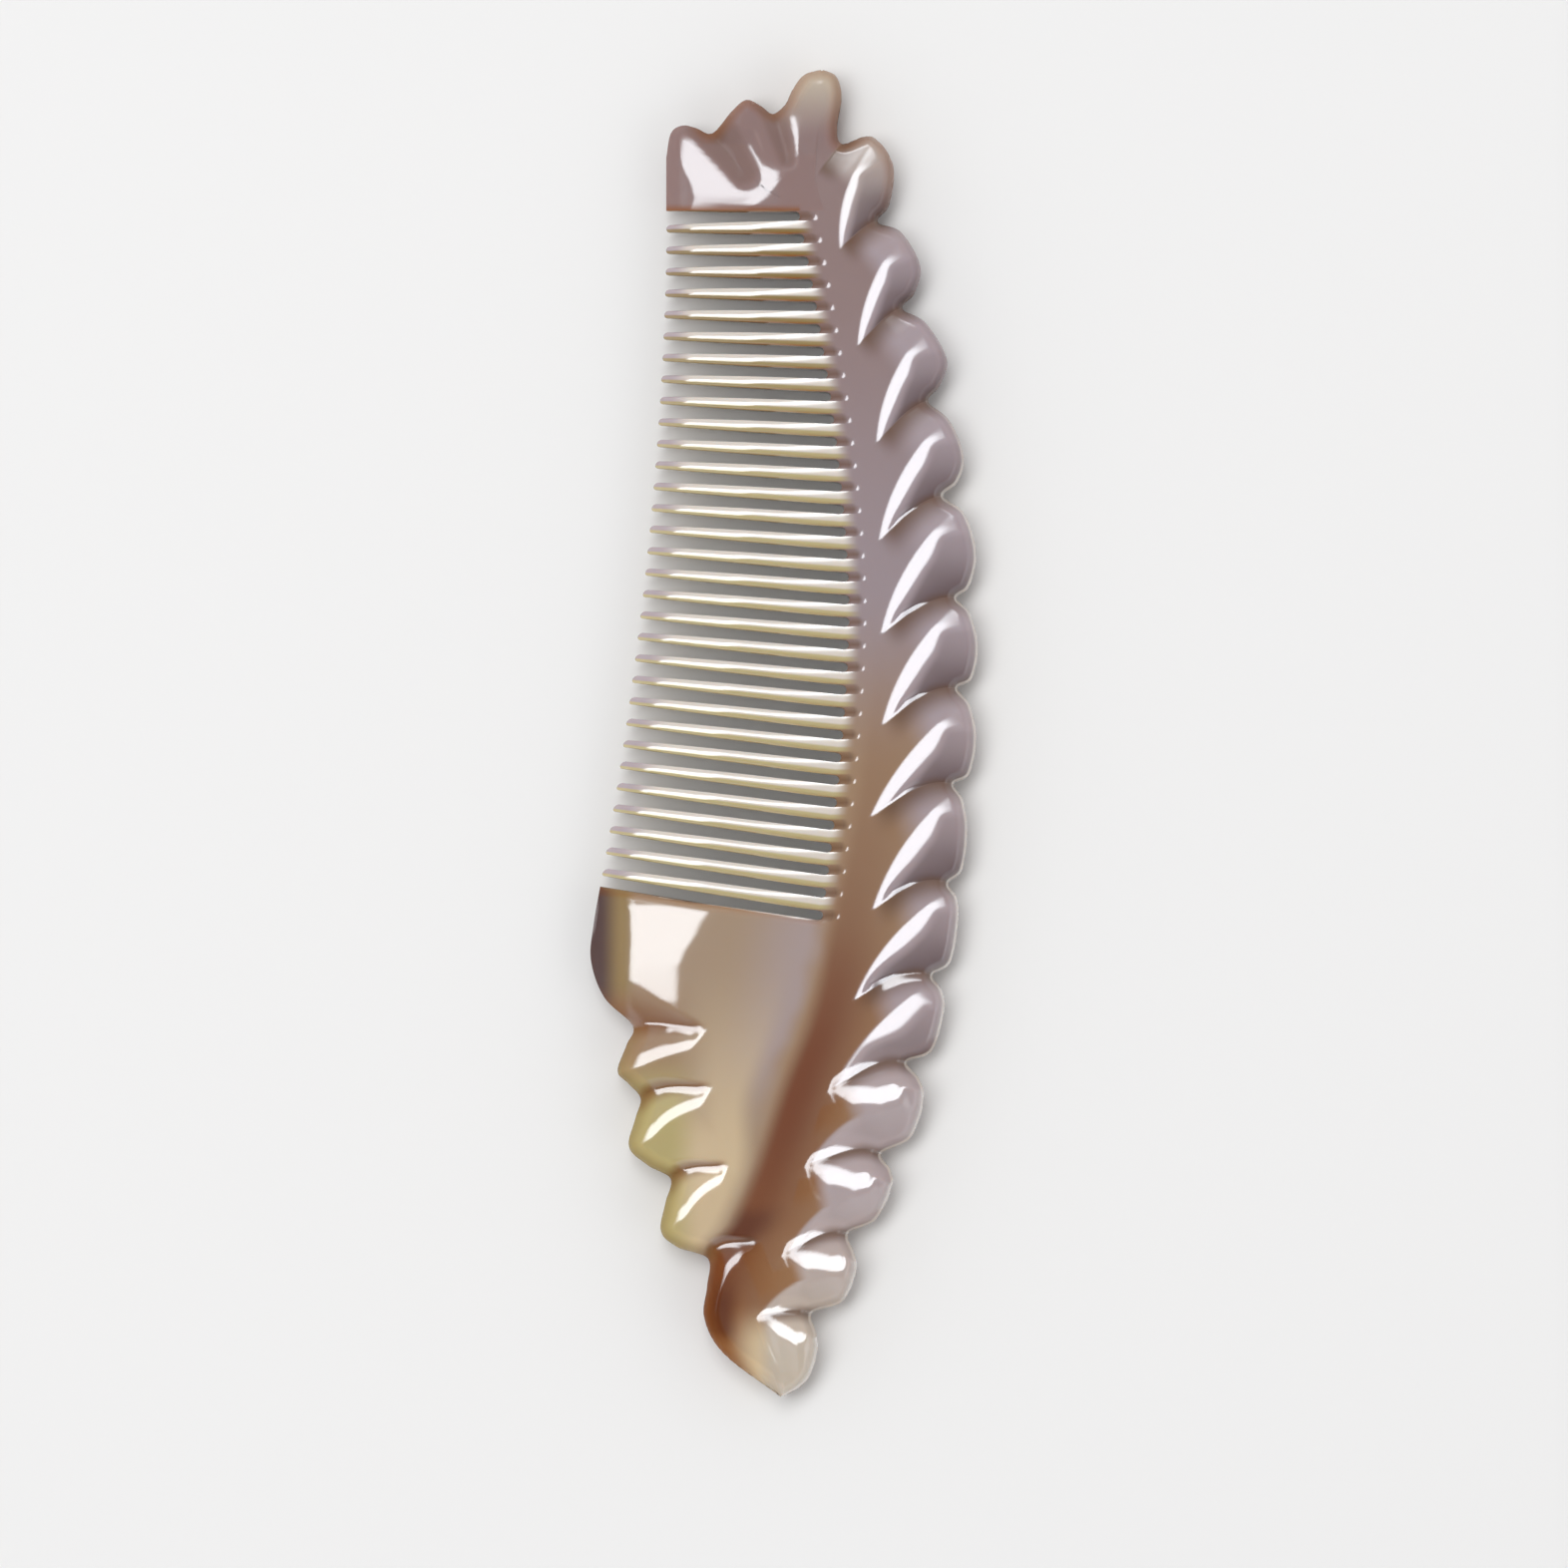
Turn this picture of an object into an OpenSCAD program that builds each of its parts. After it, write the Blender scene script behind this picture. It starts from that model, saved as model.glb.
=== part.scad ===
/* [Comb] */
// Overall length, from the tail's tip to the top lobe
comb_l = 150; // [120:1:180]
// Overall width, from the lower guard to the widest lobe
comb_w = 44; // [36:1:54]
// Thickness of the flat middle
body_t = 6; // [4.5:0.25:8]
// Width of the rounded edge along the lobed side
round_w = 3.2; // [2:0.2:4]

/* [Carving] */
// Rise of the lobes' crests above the flat middle, on the front only
crest_h = 0.45; // [0.2:0.05:0.8]
// Depth of the grooves on the lobed side, where they reach the notches
groove_d = 1.1; // [0.4:0.1:1.4]
// Depth of the grooves on the guards, where they reach the notches
guard_groove_d = 1.3; // [0.4:0.1:1.5]
// Width of the slope that climbs from the flat middle to a crest
flank_w = 1.3; // [0.8:0.1:2]
// Width of the wall that climbs out of a groove
wall_w = 1.1; // [0.6:0.1:2]

/* [Teeth] */
// Number of teeth
tooth_n = 31; // [20:1:34]
// Width of a tooth at its root
tooth_root_w = 1.45; // [1.2:0.05:1.6]
// Width of a tooth at its tip
tooth_tip_w = 0.85; // [0.7:0.05:1.1]
// Thickness of the teeth and the guards at their left edge
tip_t = 1.6; // [1:0.1:3]
// Width of the bevel that thins the teeth and the guards towards that edge
bevel_w = 11; // [8:0.5:13]

/* [Hidden] */

// Tables are in millimetres on a comb of 150 by 44; x runs to the lobed side, y to the top.
kx = comb_w / 44;
ky = comb_l / 150;
TOP = [4.3, 75];
TAIL = [-0.2, -75];

// The row of tooth tips between the first and the last saw cut, with this curve
GUARD_TOP = [-13.3, 65];
FIRST_TIP = [-13.3, 58.2];
LAST_TIP = [-20.7, -16.9];
tip_curve = 1.8;

// Lobed side from the top lobe to the tail: [shoulder, apex, heel, notch] of each lobe
LOBES = [
    [[5.9, 74.2], [6.5, 71.8], [6, 68.4], [6.6, 66.6]],
    [[9.9, 67.4], [12.3, 64.2], [11.9, 59.8], [10.6, 57.8]],
    [[13.2, 56.6], [15.4, 52.8], [14.7, 49.7], [13.4, 48]],
    [[16, 46.4], [18.4, 42.3], [17.6, 39.3], [16.3, 37.5]],
    [[18.7, 35.3], [20.3, 31.3], [19.6, 28.4], [18, 26.8]],
    [[20.4, 24.8], [21.7, 20.3], [20.9, 16.6], [19.5, 15.3]],
    [[21, 13.6], [21.9, 9.8], [21.2, 6.2], [19.6, 5.1]],
    [[21, 3.2], [21.7, -0.6], [20.9, -4.6], [19.2, -5.7]],
    [[20.2, -7.5], [20.7, -11], [20.1, -15.4], [18.6, -16.9]],
    [[19.5, -18.5], [19.7, -21], [18.8, -25.8], [16.8, -27.3]],
    [[17.8, -28.9], [18.1, -31.2], [16.7, -35.8], [13.9, -37.1]],
    [[15.2, -38.9], [15.8, -41.3], [14.3, -45.6], [11, -47.4]],
    [[12, -49.2], [12.2, -51.2], [10.3, -54.9], [7.3, -56.4]],
    [[7.9, -58.6], [8.2, -60.6], [6.6, -64.1], [3.2, -65.4]],
    [[3.6, -67.6], [3.8, -69.6], [2.6, -73], TAIL]
];
// Groove that ends at each of those notches: [inner tip, bow]
GROOVES = [
    [[4.2, 62.5], 0], [[6.4, 54], 0.3], [[8.3, 42.9], 0.4], [[10.4, 32], 0.5], [[10.6, 21], 0.7],
    [[10.8, 10.7], 0.9], [[10.9, 0.4], 1], [[9.5, -9.9], 1.1], [[9.8, -20.3], 1.2],
    [[7.7, -30.5], 1.2], [[5.3, -40.4], 1], [[2.7, -48.7], 0.9], [[0.1, -58.9], 0.8],
    [[-2.8, -65.7], 0.4]
];
// Upper left side from the top lobe to the top guard's edge, and lower left side down to the tail
UPPER_LEFT = [
    [[2.3, 74.4], [1, 72.8], [0.1, 71], [-1.3, 70]],
    [[-2.6, 70.9], [-4.3, 71.6], [-6, 70.2], [-8.1, 67.8]],
    [[-9.9, 68.4], [-11.5, 68.7], [-12.8, 67.8], GUARD_TOP]
];
LOWER_LEFT = [
    [[-21.5, -21.5], [-21.81, -25.6], [-20.3, -29.8], [-17.1, -33]],
    [[-17.8, -35.2], [-18.8, -38.1], [-17.6, -39.5], [-16.2, -41.2]],
    [[-16.8, -43.5], [-17.5, -46.7], [-15.3, -48.8], [-12.8, -50.3]],
    [[-13.4, -53], [-13.9, -56.2], [-12, -58], [-8.6, -59.3]],
    [[-8.7, -62.5], [-9, -66], [-6.8, -70], TAIL]
];
// Grooves of the guards: [notch, inner tip, bow]
GUARD_GROOVES = [
    [[-17.1, -33], [-8.7, -33.2], 0.3], [[-16.2, -41.2], [-8, -39.6], 0.5],
    [[-12.8, -50.3], [-6.2, -48.4], 0.5], [[-8.6, -59.3], [-2.8, -56.8], 0.6]
];

// The two scoops of the top guard: [notch, inner tip, half width, depth]
SCOOPS = [[[-8.1, 69], [-4.6, 63.6], 1.8, 1.1], [[-1.3, 71.5], [0.6, 66], 1.6, 0.9]];
SCOOP_SPREAD = 1.5;

// The saw cuts between the teeth: y of the first and last one at the roots
ROOT_Y = [58.3, -20.5];
// The row of roots: its deepest point, how far both ends fall short of it, and this curve
root_x_max = 7.4;
root_y_mid = 14;
root_fall_up = 5.6;
root_fall_low = 3;
root_curve = 1.6;
saw_overrun = 4;
// Sides of the half round root: an odd number leaves a flat where the mesh's rung crosses it
root_sides = 11;
// The inner lines of the mesh stay this far from the roots and from the grooves' tips
inner_gap = 0.8;

// Rungs of the mesh from the top to the tail:
// [place on the left side, place on the lobed side, left inner end, steps from the rung before]
RUNGS = [
    [0.06, 0.06, TOP, 0], [0.5, 0.5, [2.8, 70.6], 3], [1, 1, [0.3, 64.5], 3], [2, 1.2, [-2.2, 61.3], 5],
    [3, 1.35, [0, 60.2], 5], [4, 1.5, beyond_root(ROOT_Y[0]), 4],
    [5, 9.05, beyond_root(ROOT_Y[1]), 2 * tooth_n], [6, 10.27, [-7.9, -33.2], 7],
    [7, 10.95, [-7.2, -39.6], 6], [8, 12, [-5.4, -48.4], 7], [9, 12.85, [-2.2, -56.9], 7],
    [9.5, 14, [-4.8, -65.2], 7], [9.97, 14.94, TAIL, 6]
];
// Where the vertices lie between the left edge, the inner lines and the lobed edge
LEFT_STEPS = [0, 0.04, 0.15, 0.4, 0.7];
RIGHT_STEPS = [0, 0.15, 0.33, 0.5, 0.66, 0.8, 0.93, 1];
// Half thickness of the outermost edge, and the least one where the carving is deepest
edge_half = 0.3;
least_half = 0.6;

// Crest of a lobe: where it ends, seen from the notch above, on the first and the last lobes,
// how far it bows, and how its slope falls to the groove below
CREST_END_FIRST = [0.9, -4.6];
CREST_END_LAST = [-1.3, -2];
crest_bow = 1.2;
fall_curve = 1.6;
groove_foot = 0.15;
// Half widths of a guard's groove at its tip and at its notch: the steep side above, the wall below
STEEP_SIDE = [0.4, 2.2];
WALL_SIDE = [0.6, 3.8];
// Share of the bevel that is left at the tail, and the rounding along the teeth and the guards
bevel_at_tail = 0.4;
low_edge_bend = -23;
low_edge_lean = 0.32;
guard_round_w = 0.9;
tail_round_w = 2;

function clamp01(v) = min(1, max(0, v));
function smooth(v) = let (c = clamp01(v)) c * c * (3 - 2 * c);
function mix(a, b, t) = a + (b - a) * t;
function round_off(e, w) = let (c = clamp01(1 - e / w)) sqrt(1 - c * c);

// A smooth curve through points, at the place s, which is whole at every point
function on_curve(pts, s) =
    let (last = len(pts) - 1, i = min(last - 1, floor(s)), t = s - i)
    let (b = pts[i], c = pts[i + 1])
    let (a = i > 0 ? pts[i - 1] : 2 * b - c, d = i < last - 1 ? pts[i + 2] : 2 * c - b)
    0.5 * (2 * b + (c - a) * t + (2 * a - 5 * b + 4 * c - d) * t ^ 2 + (3 * b - a - 3 * c + d) * t ^ 3);
function joined(start, sections) = concat([start], [for (section = sections) each section]);

LOBED_SIDE = joined(TOP, LOBES);
UPPER_SIDE = joined(TOP, UPPER_LEFT);
LOWER_SIDE = joined(LAST_TIP, LOWER_LEFT);

function tip_x(y) =
    mix(FIRST_TIP.x, LAST_TIP.x, clamp01((FIRST_TIP.y - y) / (FIRST_TIP.y - LAST_TIP.y)) ^ tip_curve);
function root_x(y) =
    y > root_y_mid
        ? root_x_max - root_fall_up * ((y - root_y_mid) / (ROOT_Y[0] - root_y_mid)) ^ root_curve
        : root_x_max - root_fall_low * ((root_y_mid - y) / (root_y_mid - ROOT_Y[1])) ^ root_curve;
function beyond_root(y) = [root_x(y) + inner_gap, y];

// Places on the left side: 0 to 3 the upper lobes, 3 to 4 the guard's edge, 4 to 5 the saw cuts,
// 5 to 10 the lower lobes
function left_point(s) =
    s <= 3 ? on_curve(UPPER_SIDE, 4 * s)
    : s <= 4 ? mix(GUARD_TOP, FIRST_TIP, s - 3)
    : s < 5 ? let (y = mix(FIRST_TIP.y, LAST_TIP.y, s - 4)) [tip_x(y), y]
    : on_curve(LOWER_SIDE, 4 * (s - 5));
function right_point(s) = on_curve(LOBED_SIDE, 4 * s);

// Inner line of the lobed side, just inside the grooves' tips
function inner_knot(i) =
    i == 0 ? TOP : i > len(GROOVES) ? TAIL : GROOVES[i - 1][0] - [inner_gap, 0];
function inner_right(s) =
    let (i = min(len(GROOVES), floor(s)))
    s < 1 ? mix(TOP, inner_knot(1), s)
    : mix(inner_knot(i), inner_knot(i + 1), s - i);

RUNG_ROWS = [
    RUNGS[0],
    for (i = [1 : len(RUNGS) - 1], j = [1 : RUNGS[i][3]])
        let (a = RUNGS[i - 1], b = RUNGS[i], t = j / b[3])
        let (inner = b[0] == 5 ? beyond_root(mix(a[2].y, b[2].y, t)) : mix(a[2], b[2], t))
        [mix(a[0], b[0], t), mix(a[1], b[1], t), inner]
];

// How far along the line from a to b the point p is, and its distance from the line bent to the
// left by bow, positive on that side
function along(p, a, b) = (p - a) * (b - a) / ((b - a) * (b - a));
function bent(t) = 27 / 4 * t * t * (1 - t);
function beside(p, a, b, bow) =
    let (t = clamp01(along(p, a, b)), d = b - a)
    (d.x * (p.y - a.y) - d.y * (p.x - a.x)) / norm(d) - bow * bent(t);

function groove_depth(p, tip, notch, depth) = depth * (1 - (1 - clamp01(along(p, tip, notch))) ^ 2);

// Height of the carving on the lobed side, above the flat middle; the back has no raised crests
function lobe_relief(p, s, rise) =
    let (i = min(len(GROOVES), floor(s)))
    let (upper = i == 0 ? 0 : groove_depth(p, GROOVES[i - 1][0], LOBES[i - 1][3], groove_d))
    let (past_upper = i == 0 ? wall_w : -beside(p, GROOVES[i - 1][0], LOBES[i - 1][3], GROOVES[i - 1][1]))
    let (lobe = i == 0 || i == len(GROOVES) ? 0 : lobe_height(p, i, rise))
    mix(-upper, lobe, smooth(mix(groove_foot, 1, past_upper / wall_w)));
// Height of lobe i between its two grooves: up to the crest, and down to the groove below
function lobe_height(p, i, rise) =
    let (tip = GROOVES[i][0], notch = LOBES[i][3])
    let (crest_end = LOBES[i - 1][3] + mix(CREST_END_FIRST, CREST_END_LAST, clamp01((i - 2) / 7)))
    let (past_crest = -beside(p, tip, crest_end, crest_bow))
    let (to_groove = max(0, beside(p, tip, notch, GROOVES[i][1])))
    let (fall = past_crest > 0 ? past_crest / (past_crest + to_groove) : 0)
    let (depth = groove_depth(p, tip, notch, groove_d))
    rise * smooth(1 + past_crest / flank_w) - (rise + depth) * fall ^ fall_curve;

// Depth of the guards' grooves: a steep slope from above, and a wider wall below
function guard_relief(p) =
    -max([for (g = GUARD_GROOVES)
        let (d = beside(p, g[1], g[0], -g[2]), t = clamp01(along(p, g[1], g[0])))
        let (side = d < 0 ? STEEP_SIDE : WALL_SIDE)
        guard_groove_d * t * (1 - smooth(abs(d) / mix(side[0], side[1], t)))]);
function scoop_relief(p) =
    -max([for (g = SCOOPS)
        let (t = along(p, g[1], g[0]), d = t < 0 ? norm(p - g[1]) : abs(beside(p, g[1], g[0], 0)))
        g[3] * mix(0.5, 1, clamp01(t)) * (1 - smooth(d / mix(g[2], g[2] * SCOOP_SPREAD, clamp01(t))))]);

// Half thickness at a point: the bevel on the left, the carving, and the rounded edges
function bevel_edge(y) =
    y > LAST_TIP.y ? tip_x(y) : LAST_TIP.x + low_edge_lean * max(0, low_edge_bend - y);
function left_round(s) =
    s < 1 ? round_w : s < 2 ? mix(round_w, guard_round_w, s - 1) : s < 9 ? guard_round_w : tail_round_w;
function half_thickness(p, row, e_left, e_right, rise) =
    let (drop = (body_t - tip_t) / 2 * mix(1, bevel_at_tail, clamp01((row[0] - 5) / 5)))
    let (bevel = drop * clamp01(1 - (p.x - bevel_edge(p.y)) / bevel_w) ^ 2)
    let (carved = row[0] < 3 ? scoop_relief(p) : row[0] > 5 ? guard_relief(p) : 0)
    let (full = max(least_half, body_t / 2 - bevel + carved + lobe_relief(p, row[1], rise)))
    edge_half + (full - edge_half) * round_off(e_left, left_round(row[0])) * round_off(e_right, round_w);

// The points of a rung, each with its distances from both edges
function rung_points(row) =
    let (a = left_point(row[0]), d = right_point(row[1]), b = row[2], c = inner_right(row[1]))
    [for (p = concat([for (t = LEFT_STEPS) mix(a, b, t)], [b], [for (t = RIGHT_STEPS) mix(c, d, t)]))
        [p, norm(p - a), norm(p - d)]];

columns = len(LEFT_STEPS) + 1 + len(RIGHT_STEPS);
rows = len(RUNG_ROWS);

function sheet(side) =
    [for (row = RUNG_ROWS, q = rung_points(row))
        [q[0].x * kx, q[0].y * ky,
         body_t / 2 + side * half_thickness(q[0], row, q[1], q[2], side > 0 ? crest_h : 0)]];

// The carved blank before the teeth are sawn: a front and a back sheet, closed along the edge
module blank() {
    n = rows * columns;
    front = [for (i = [0 : rows - 2], j = [0 : columns - 2])
        let (a = i * columns + j) each [[a, a + 1, a + columns + 1], [a, a + columns + 1, a + columns]]];
    back = [for (f = front) [f[0] + n, f[2] + n, f[1] + n]];
    ring = concat(
        [for (i = [0 : rows - 1]) i * columns],
        [for (j = [1 : columns - 1]) (rows - 1) * columns + j],
        [for (i = [rows - 2 : -1 : 0]) i * columns + columns - 1],
        [for (j = [columns - 2 : -1 : 1]) j]);
    wall = [for (i = [0 : len(ring) - 1])
        let (a = ring[i], b = ring[(i + 1) % len(ring)]) each [[a, b, b + n], [a, b + n, a + n]]];
    polyhedron(concat(sheet(1), sheet(-1)), concat(front, back, wall));
}

// One saw cut with a round root, open at the tooth tips
module saw_cut(i) {
    t = i / tooth_n;
    y = mix(ROOT_Y[0], ROOT_Y[1], t);
    tip_y = mix(FIRST_TIP.y, LAST_TIP.y, t);
    root_w = (ROOT_Y[0] - ROOT_Y[1]) * ky / tooth_n - tooth_root_w;
    tip_w = (FIRST_TIP.y - LAST_TIP.y) * ky / tooth_n - tooth_tip_w;
    root = [root_x(y) * kx - root_w / 2, y * ky];
    tip = [tip_x(tip_y) * kx, tip_y * ky];
    far = tip + (tip - root) * saw_overrun / norm(tip - root);
    up = [0, tip_w / 2];
    half_round = [for (k = [0 : root_sides])
        let (a = 180 * k / root_sides) root + [sin(a), cos(a)] * root_w / 2];
    translate([0, 0, -1]) linear_extrude(body_t + 3) polygon(concat([far + up], half_round, [far - up]));
}

// The whole comb is one piece of horn
module comb() {
    color([0.72, 0.64, 0.6]) difference() {
        blank();
        for (i = [0 : tooth_n]) saw_cut(i);
    }
}

comb();
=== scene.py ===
"""A carved horn pocket comb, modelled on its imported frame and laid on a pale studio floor."""

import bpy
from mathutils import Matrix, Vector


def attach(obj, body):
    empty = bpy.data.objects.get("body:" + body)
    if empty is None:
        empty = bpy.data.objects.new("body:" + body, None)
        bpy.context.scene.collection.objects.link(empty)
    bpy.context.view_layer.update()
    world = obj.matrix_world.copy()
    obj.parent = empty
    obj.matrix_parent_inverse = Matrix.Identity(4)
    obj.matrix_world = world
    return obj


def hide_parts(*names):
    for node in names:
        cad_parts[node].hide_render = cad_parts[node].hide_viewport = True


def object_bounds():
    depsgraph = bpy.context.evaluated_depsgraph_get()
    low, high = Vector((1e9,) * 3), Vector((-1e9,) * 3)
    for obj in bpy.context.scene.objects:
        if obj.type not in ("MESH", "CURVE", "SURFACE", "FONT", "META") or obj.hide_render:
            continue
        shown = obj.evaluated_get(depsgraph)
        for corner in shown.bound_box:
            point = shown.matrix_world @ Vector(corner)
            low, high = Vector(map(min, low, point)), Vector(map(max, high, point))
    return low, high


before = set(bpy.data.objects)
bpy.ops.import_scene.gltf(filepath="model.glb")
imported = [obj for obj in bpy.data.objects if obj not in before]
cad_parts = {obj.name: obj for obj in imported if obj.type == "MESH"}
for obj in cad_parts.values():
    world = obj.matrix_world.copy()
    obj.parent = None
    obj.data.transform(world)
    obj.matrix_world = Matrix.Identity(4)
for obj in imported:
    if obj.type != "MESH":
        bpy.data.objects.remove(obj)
cad_bounds = [list(corner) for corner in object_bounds()]

from math import cos, floor, pi, radians, sin, sqrt

import bpy
from bpy.props import FloatProperty, FloatVectorProperty, PointerProperty
from mathutils import Vector
from mathutils.kdtree import KDTree

bl_info = {
    "name": "Horn Pocket Comb",
    "version": (1, 0, 0),
    "blender": (4, 5, 0),
    "location": "3D View > Sidebar > Comb",
    "description": "Models a carved horn pocket comb and its studio",
    "category": "Add Mesh",
}

MM = 0.001
CAD_LOW, CAD_HIGH = (Vector(corner) for corner in cad_bounds)
TABLE_LENGTH = 150.0
TABLE_WIDTH = 43.76


def points(rows):
    """The rows of a table in one list of 2D vectors."""
    return [Vector(p) for row in rows for p in row]


# All tables are in millimetres on the comb's plan: x to the lobed side, y to the top lobe.
TOP = Vector((4.3, 75.0))
TAIL = Vector((-0.2, -75.0))
# Lobed side from the top lobe to the tail: shoulder, apex, heel and notch of each lobe
LOBES = (
    ((5.9, 74.2), (6.5, 71.8), (6.0, 68.4), (6.6, 66.6)),
    ((9.9, 67.4), (12.3, 64.2), (11.9, 59.8), (10.6, 57.8)),
    ((13.2, 56.6), (15.4, 52.8), (14.7, 49.7), (13.4, 48.0)),
    ((16.0, 46.4), (18.4, 42.3), (17.6, 39.3), (16.3, 37.5)),
    ((18.7, 35.3), (20.3, 31.3), (19.6, 28.4), (18.0, 26.8)),
    ((20.4, 24.8), (21.7, 20.3), (20.9, 16.6), (19.5, 15.3)),
    ((21.0, 13.6), (21.9, 9.8), (21.2, 6.2), (19.6, 5.1)),
    ((21.0, 3.2), (21.7, -0.6), (20.9, -4.6), (19.2, -5.7)),
    ((20.2, -7.5), (20.7, -11.0), (20.1, -15.4), (18.6, -16.9)),
    ((19.5, -18.5), (19.7, -21.0), (18.8, -25.8), (16.8, -27.3)),
    ((17.8, -28.9), (18.1, -31.2), (16.7, -35.8), (13.9, -37.1)),
    ((15.2, -38.9), (15.8, -41.3), (14.3, -45.6), (11.0, -47.4)),
    ((12.0, -49.2), (12.2, -51.2), (10.3, -54.9), (7.3, -56.4)),
    ((7.9, -58.6), (8.2, -60.6), (6.6, -64.1), (3.2, -65.4)),
    ((3.6, -67.6), (3.8, -69.6), (2.6, -73.0), tuple(TAIL)),
)
# The groove that ends at each of those notches: inner tip, and how far it bows to the upper left
GROOVES = (
    ((4.2, 62.5), 0.0), ((6.4, 54.0), 0.3), ((8.3, 42.9), 0.4), ((10.4, 32.0), 0.5), ((10.6, 21.0), 0.7),
    ((10.8, 10.7), 0.9), ((10.9, 0.4), 1.0), ((9.5, -9.9), 1.1), ((9.8, -20.3), 1.2), ((7.7, -30.5), 1.2),
    ((5.3, -40.4), 1.0), ((2.7, -48.7), 0.9), ((0.1, -58.9), 0.8), ((-2.8, -65.7), 0.4),
)
GROOVE_TIPS = [Vector(tip) for tip, _ in GROOVES]
# The first of the deep grooves, which have a wall and a crest below them
FIRST_DEEP = 10
# The bright flank that rises from each groove's tip across the lobe above it: upper end, bulge to the
# upper left, width at the foot and higher up, and the shares of its length between which it widens
FLANKS = (
    None,
    ((8.15, 63.6), 0.75, 0.25, 0.85, 0.0, 0.5), ((11.5, 53.5), 0.75, 0.35, 1.1, 0.0, 0.5),
    ((14.2, 43.3), 0.9, 0.45, 1.3, 0.0, 0.5), ((16.4, 33.6), 1.05, 0.55, 1.5, 0.0, 0.5),
    ((17.3, 23.3), 1.0, 0.7, 1.6, 0.0, 0.5), ((17.4, 12.6), 0.95, 0.8, 1.75, 0.0, 0.5),
    ((18.0, 1.7), 0.8, 0.9, 1.9, 0.0, 0.5), ((17.4, -8.0), 0.95, 0.8, 1.9, 0.1, 0.6),
    ((17.1, -18.7), 1.15, 0.6, 1.9, 0.2, 0.65), ((15.3, -28.8), 1.0, 0.45, 2.3, 0.38, 0.7),
    ((13.6, -41.3), 1.6, 0.45, 0.4, 0.4, 0.8), ((10.6, -50.6), 1.6, 0.45, 0.4, 0.4, 0.8),
    ((6.2, -60.6), 1.3, 0.4, 0.4, 0.4, 0.8),
)
# Left side from the top lobe to the saw cuts, and from them to the tail
UPPER_LEFT = (
    ((2.3, 74.4), (1.0, 72.8), (0.1, 71.0), (-1.3, 70.0)),
    ((-2.6, 70.9), (-4.3, 71.6), (-6.0, 70.2), (-8.1, 67.8)),
    ((-9.9, 68.4), (-11.5, 68.7), (-12.8, 67.8), (-13.3, 65.0)),
)
LOWER_LEFT = (
    ((-21.5, -21.5), (-21.81, -25.6), (-20.3, -29.8), (-17.1, -33.0)),
    ((-17.8, -35.2), (-18.8, -38.1), (-17.6, -39.5), (-16.2, -41.2)),
    ((-16.8, -43.5), (-17.5, -46.7), (-15.3, -48.8), (-12.8, -50.3)),
    ((-13.4, -53.0), (-13.9, -56.2), (-12.0, -58.0), (-8.6, -59.3)),
    ((-8.7, -62.5), (-9.0, -66.0), (-6.8, -70.0), tuple(TAIL)),
)
# The groove from each notch below the saw cuts: inner tip, upward bow, and the width of its upper face
GUARD_GROOVES = (
    ((-8.5, -33.2), 0.3, 5.0), ((-7.9, -39.6), 0.9, 1.5), ((-6.1, -48.4), 0.8, 1.3),
    ((-2.8, -56.9), 1.1, 1.3),
)
# Size of the bright limbs and of the wall between them, below each of those grooves, and the share of
# the groove's length at which its upper limb begins to end
GUARD_SIZES = ((1.1, 0.87, 0.46), (1.05, 0.9, 0.68), (0.95, 0.95, 0.6), (0.75, 0.75, 0.75))
# The two scoops of the top guard: notch, inner tip, half width and depth
SCOOPS = (
    (Vector((-8.6, 69.4)), Vector((-4.6, 63.3)), 2.3, 1.0),
    (Vector((-1.6, 71.5)), Vector((0.3, 64.8)), 1.5, 0.75),
)
# The small ridge on the top lobe: its ends and its bulge
LEAF = (Vector((1.35, 64.6)), Vector((1.0, 70.0)), 0.1)
# Upper end of the top guard's bright bevel beside the scoops, at falling x
BRIGHT_END = ((0.5, 62.8), (-1.4, 63.4), (-2.6, 64.0), (-3.5, 66.2), (-6.0, 66.2))
# How far the gentle part of the bevel reaches in from the tips, at falling y
BEVEL_REACH = (
    (75.0, 13.2), (64.0, 13.3), (62.8, 13.1), (60.6, 11.0), (59.2, 9.0), (57.0, 10.3), (-17.0, 10.8),
    (-19.5, 13.0), (-22.3, 11.7), (-24.2, 10.5), (-26.0, 9.8), (-30.2, 9.7), (-31.3, 10.2),
    (-32.8, 12.2), (-76.0, 12.2),
)
# Slopes of the gentle and the steep part of that bevel, and the width of the steep part: along the
# teeth, on the top guard, at the last tooth and on the lower guard
GENTLE_SLOPE, STEEP_SLOPE = 0.13, 0.29
STEEP_WIDTHS = (2.8, 1.5, 3.0, 4.2)
# Where the bevel fades out on the lower guard, the share of it that is left there, and the guard's edge
BEVEL_FADE, BEVEL_LEFT, GUARD_X = (-30.0, -36.0), 0.25, -21.5
# Slope of the wall below a deep groove, at its tip and at its notch
WALL_SLOPES = (0.38, 0.75)
# Width of the fall behind the crests of the lobed side and of the lower left lobes
CREST_FALL, GUARD_FALL = 4.5, 3.5
# Slope of the upper limb and width of the full wall on the lower left lobes
LIMB_SLOPE, GUARD_WALL = 0.09, 3.1
# A distance that no soft edge reaches
FAR = 9.0

# The saw cuts: first and last one at the roots and at the tips, and the curves that join them
CUTS = 32
ROOT_Y = (58.3, -20.5)
FIRST_TIP = Vector((-13.3, 58.2))
LAST_TIP = Vector((-20.7, -16.9))
TIP_CURVE = 1.8
ROOT_X, ROOT_MID_Y, ROOT_FALL_UP, ROOT_FALL_LOW, ROOT_CURVE = 7.4, 14.0, 5.6, 3.0, 1.6
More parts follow.
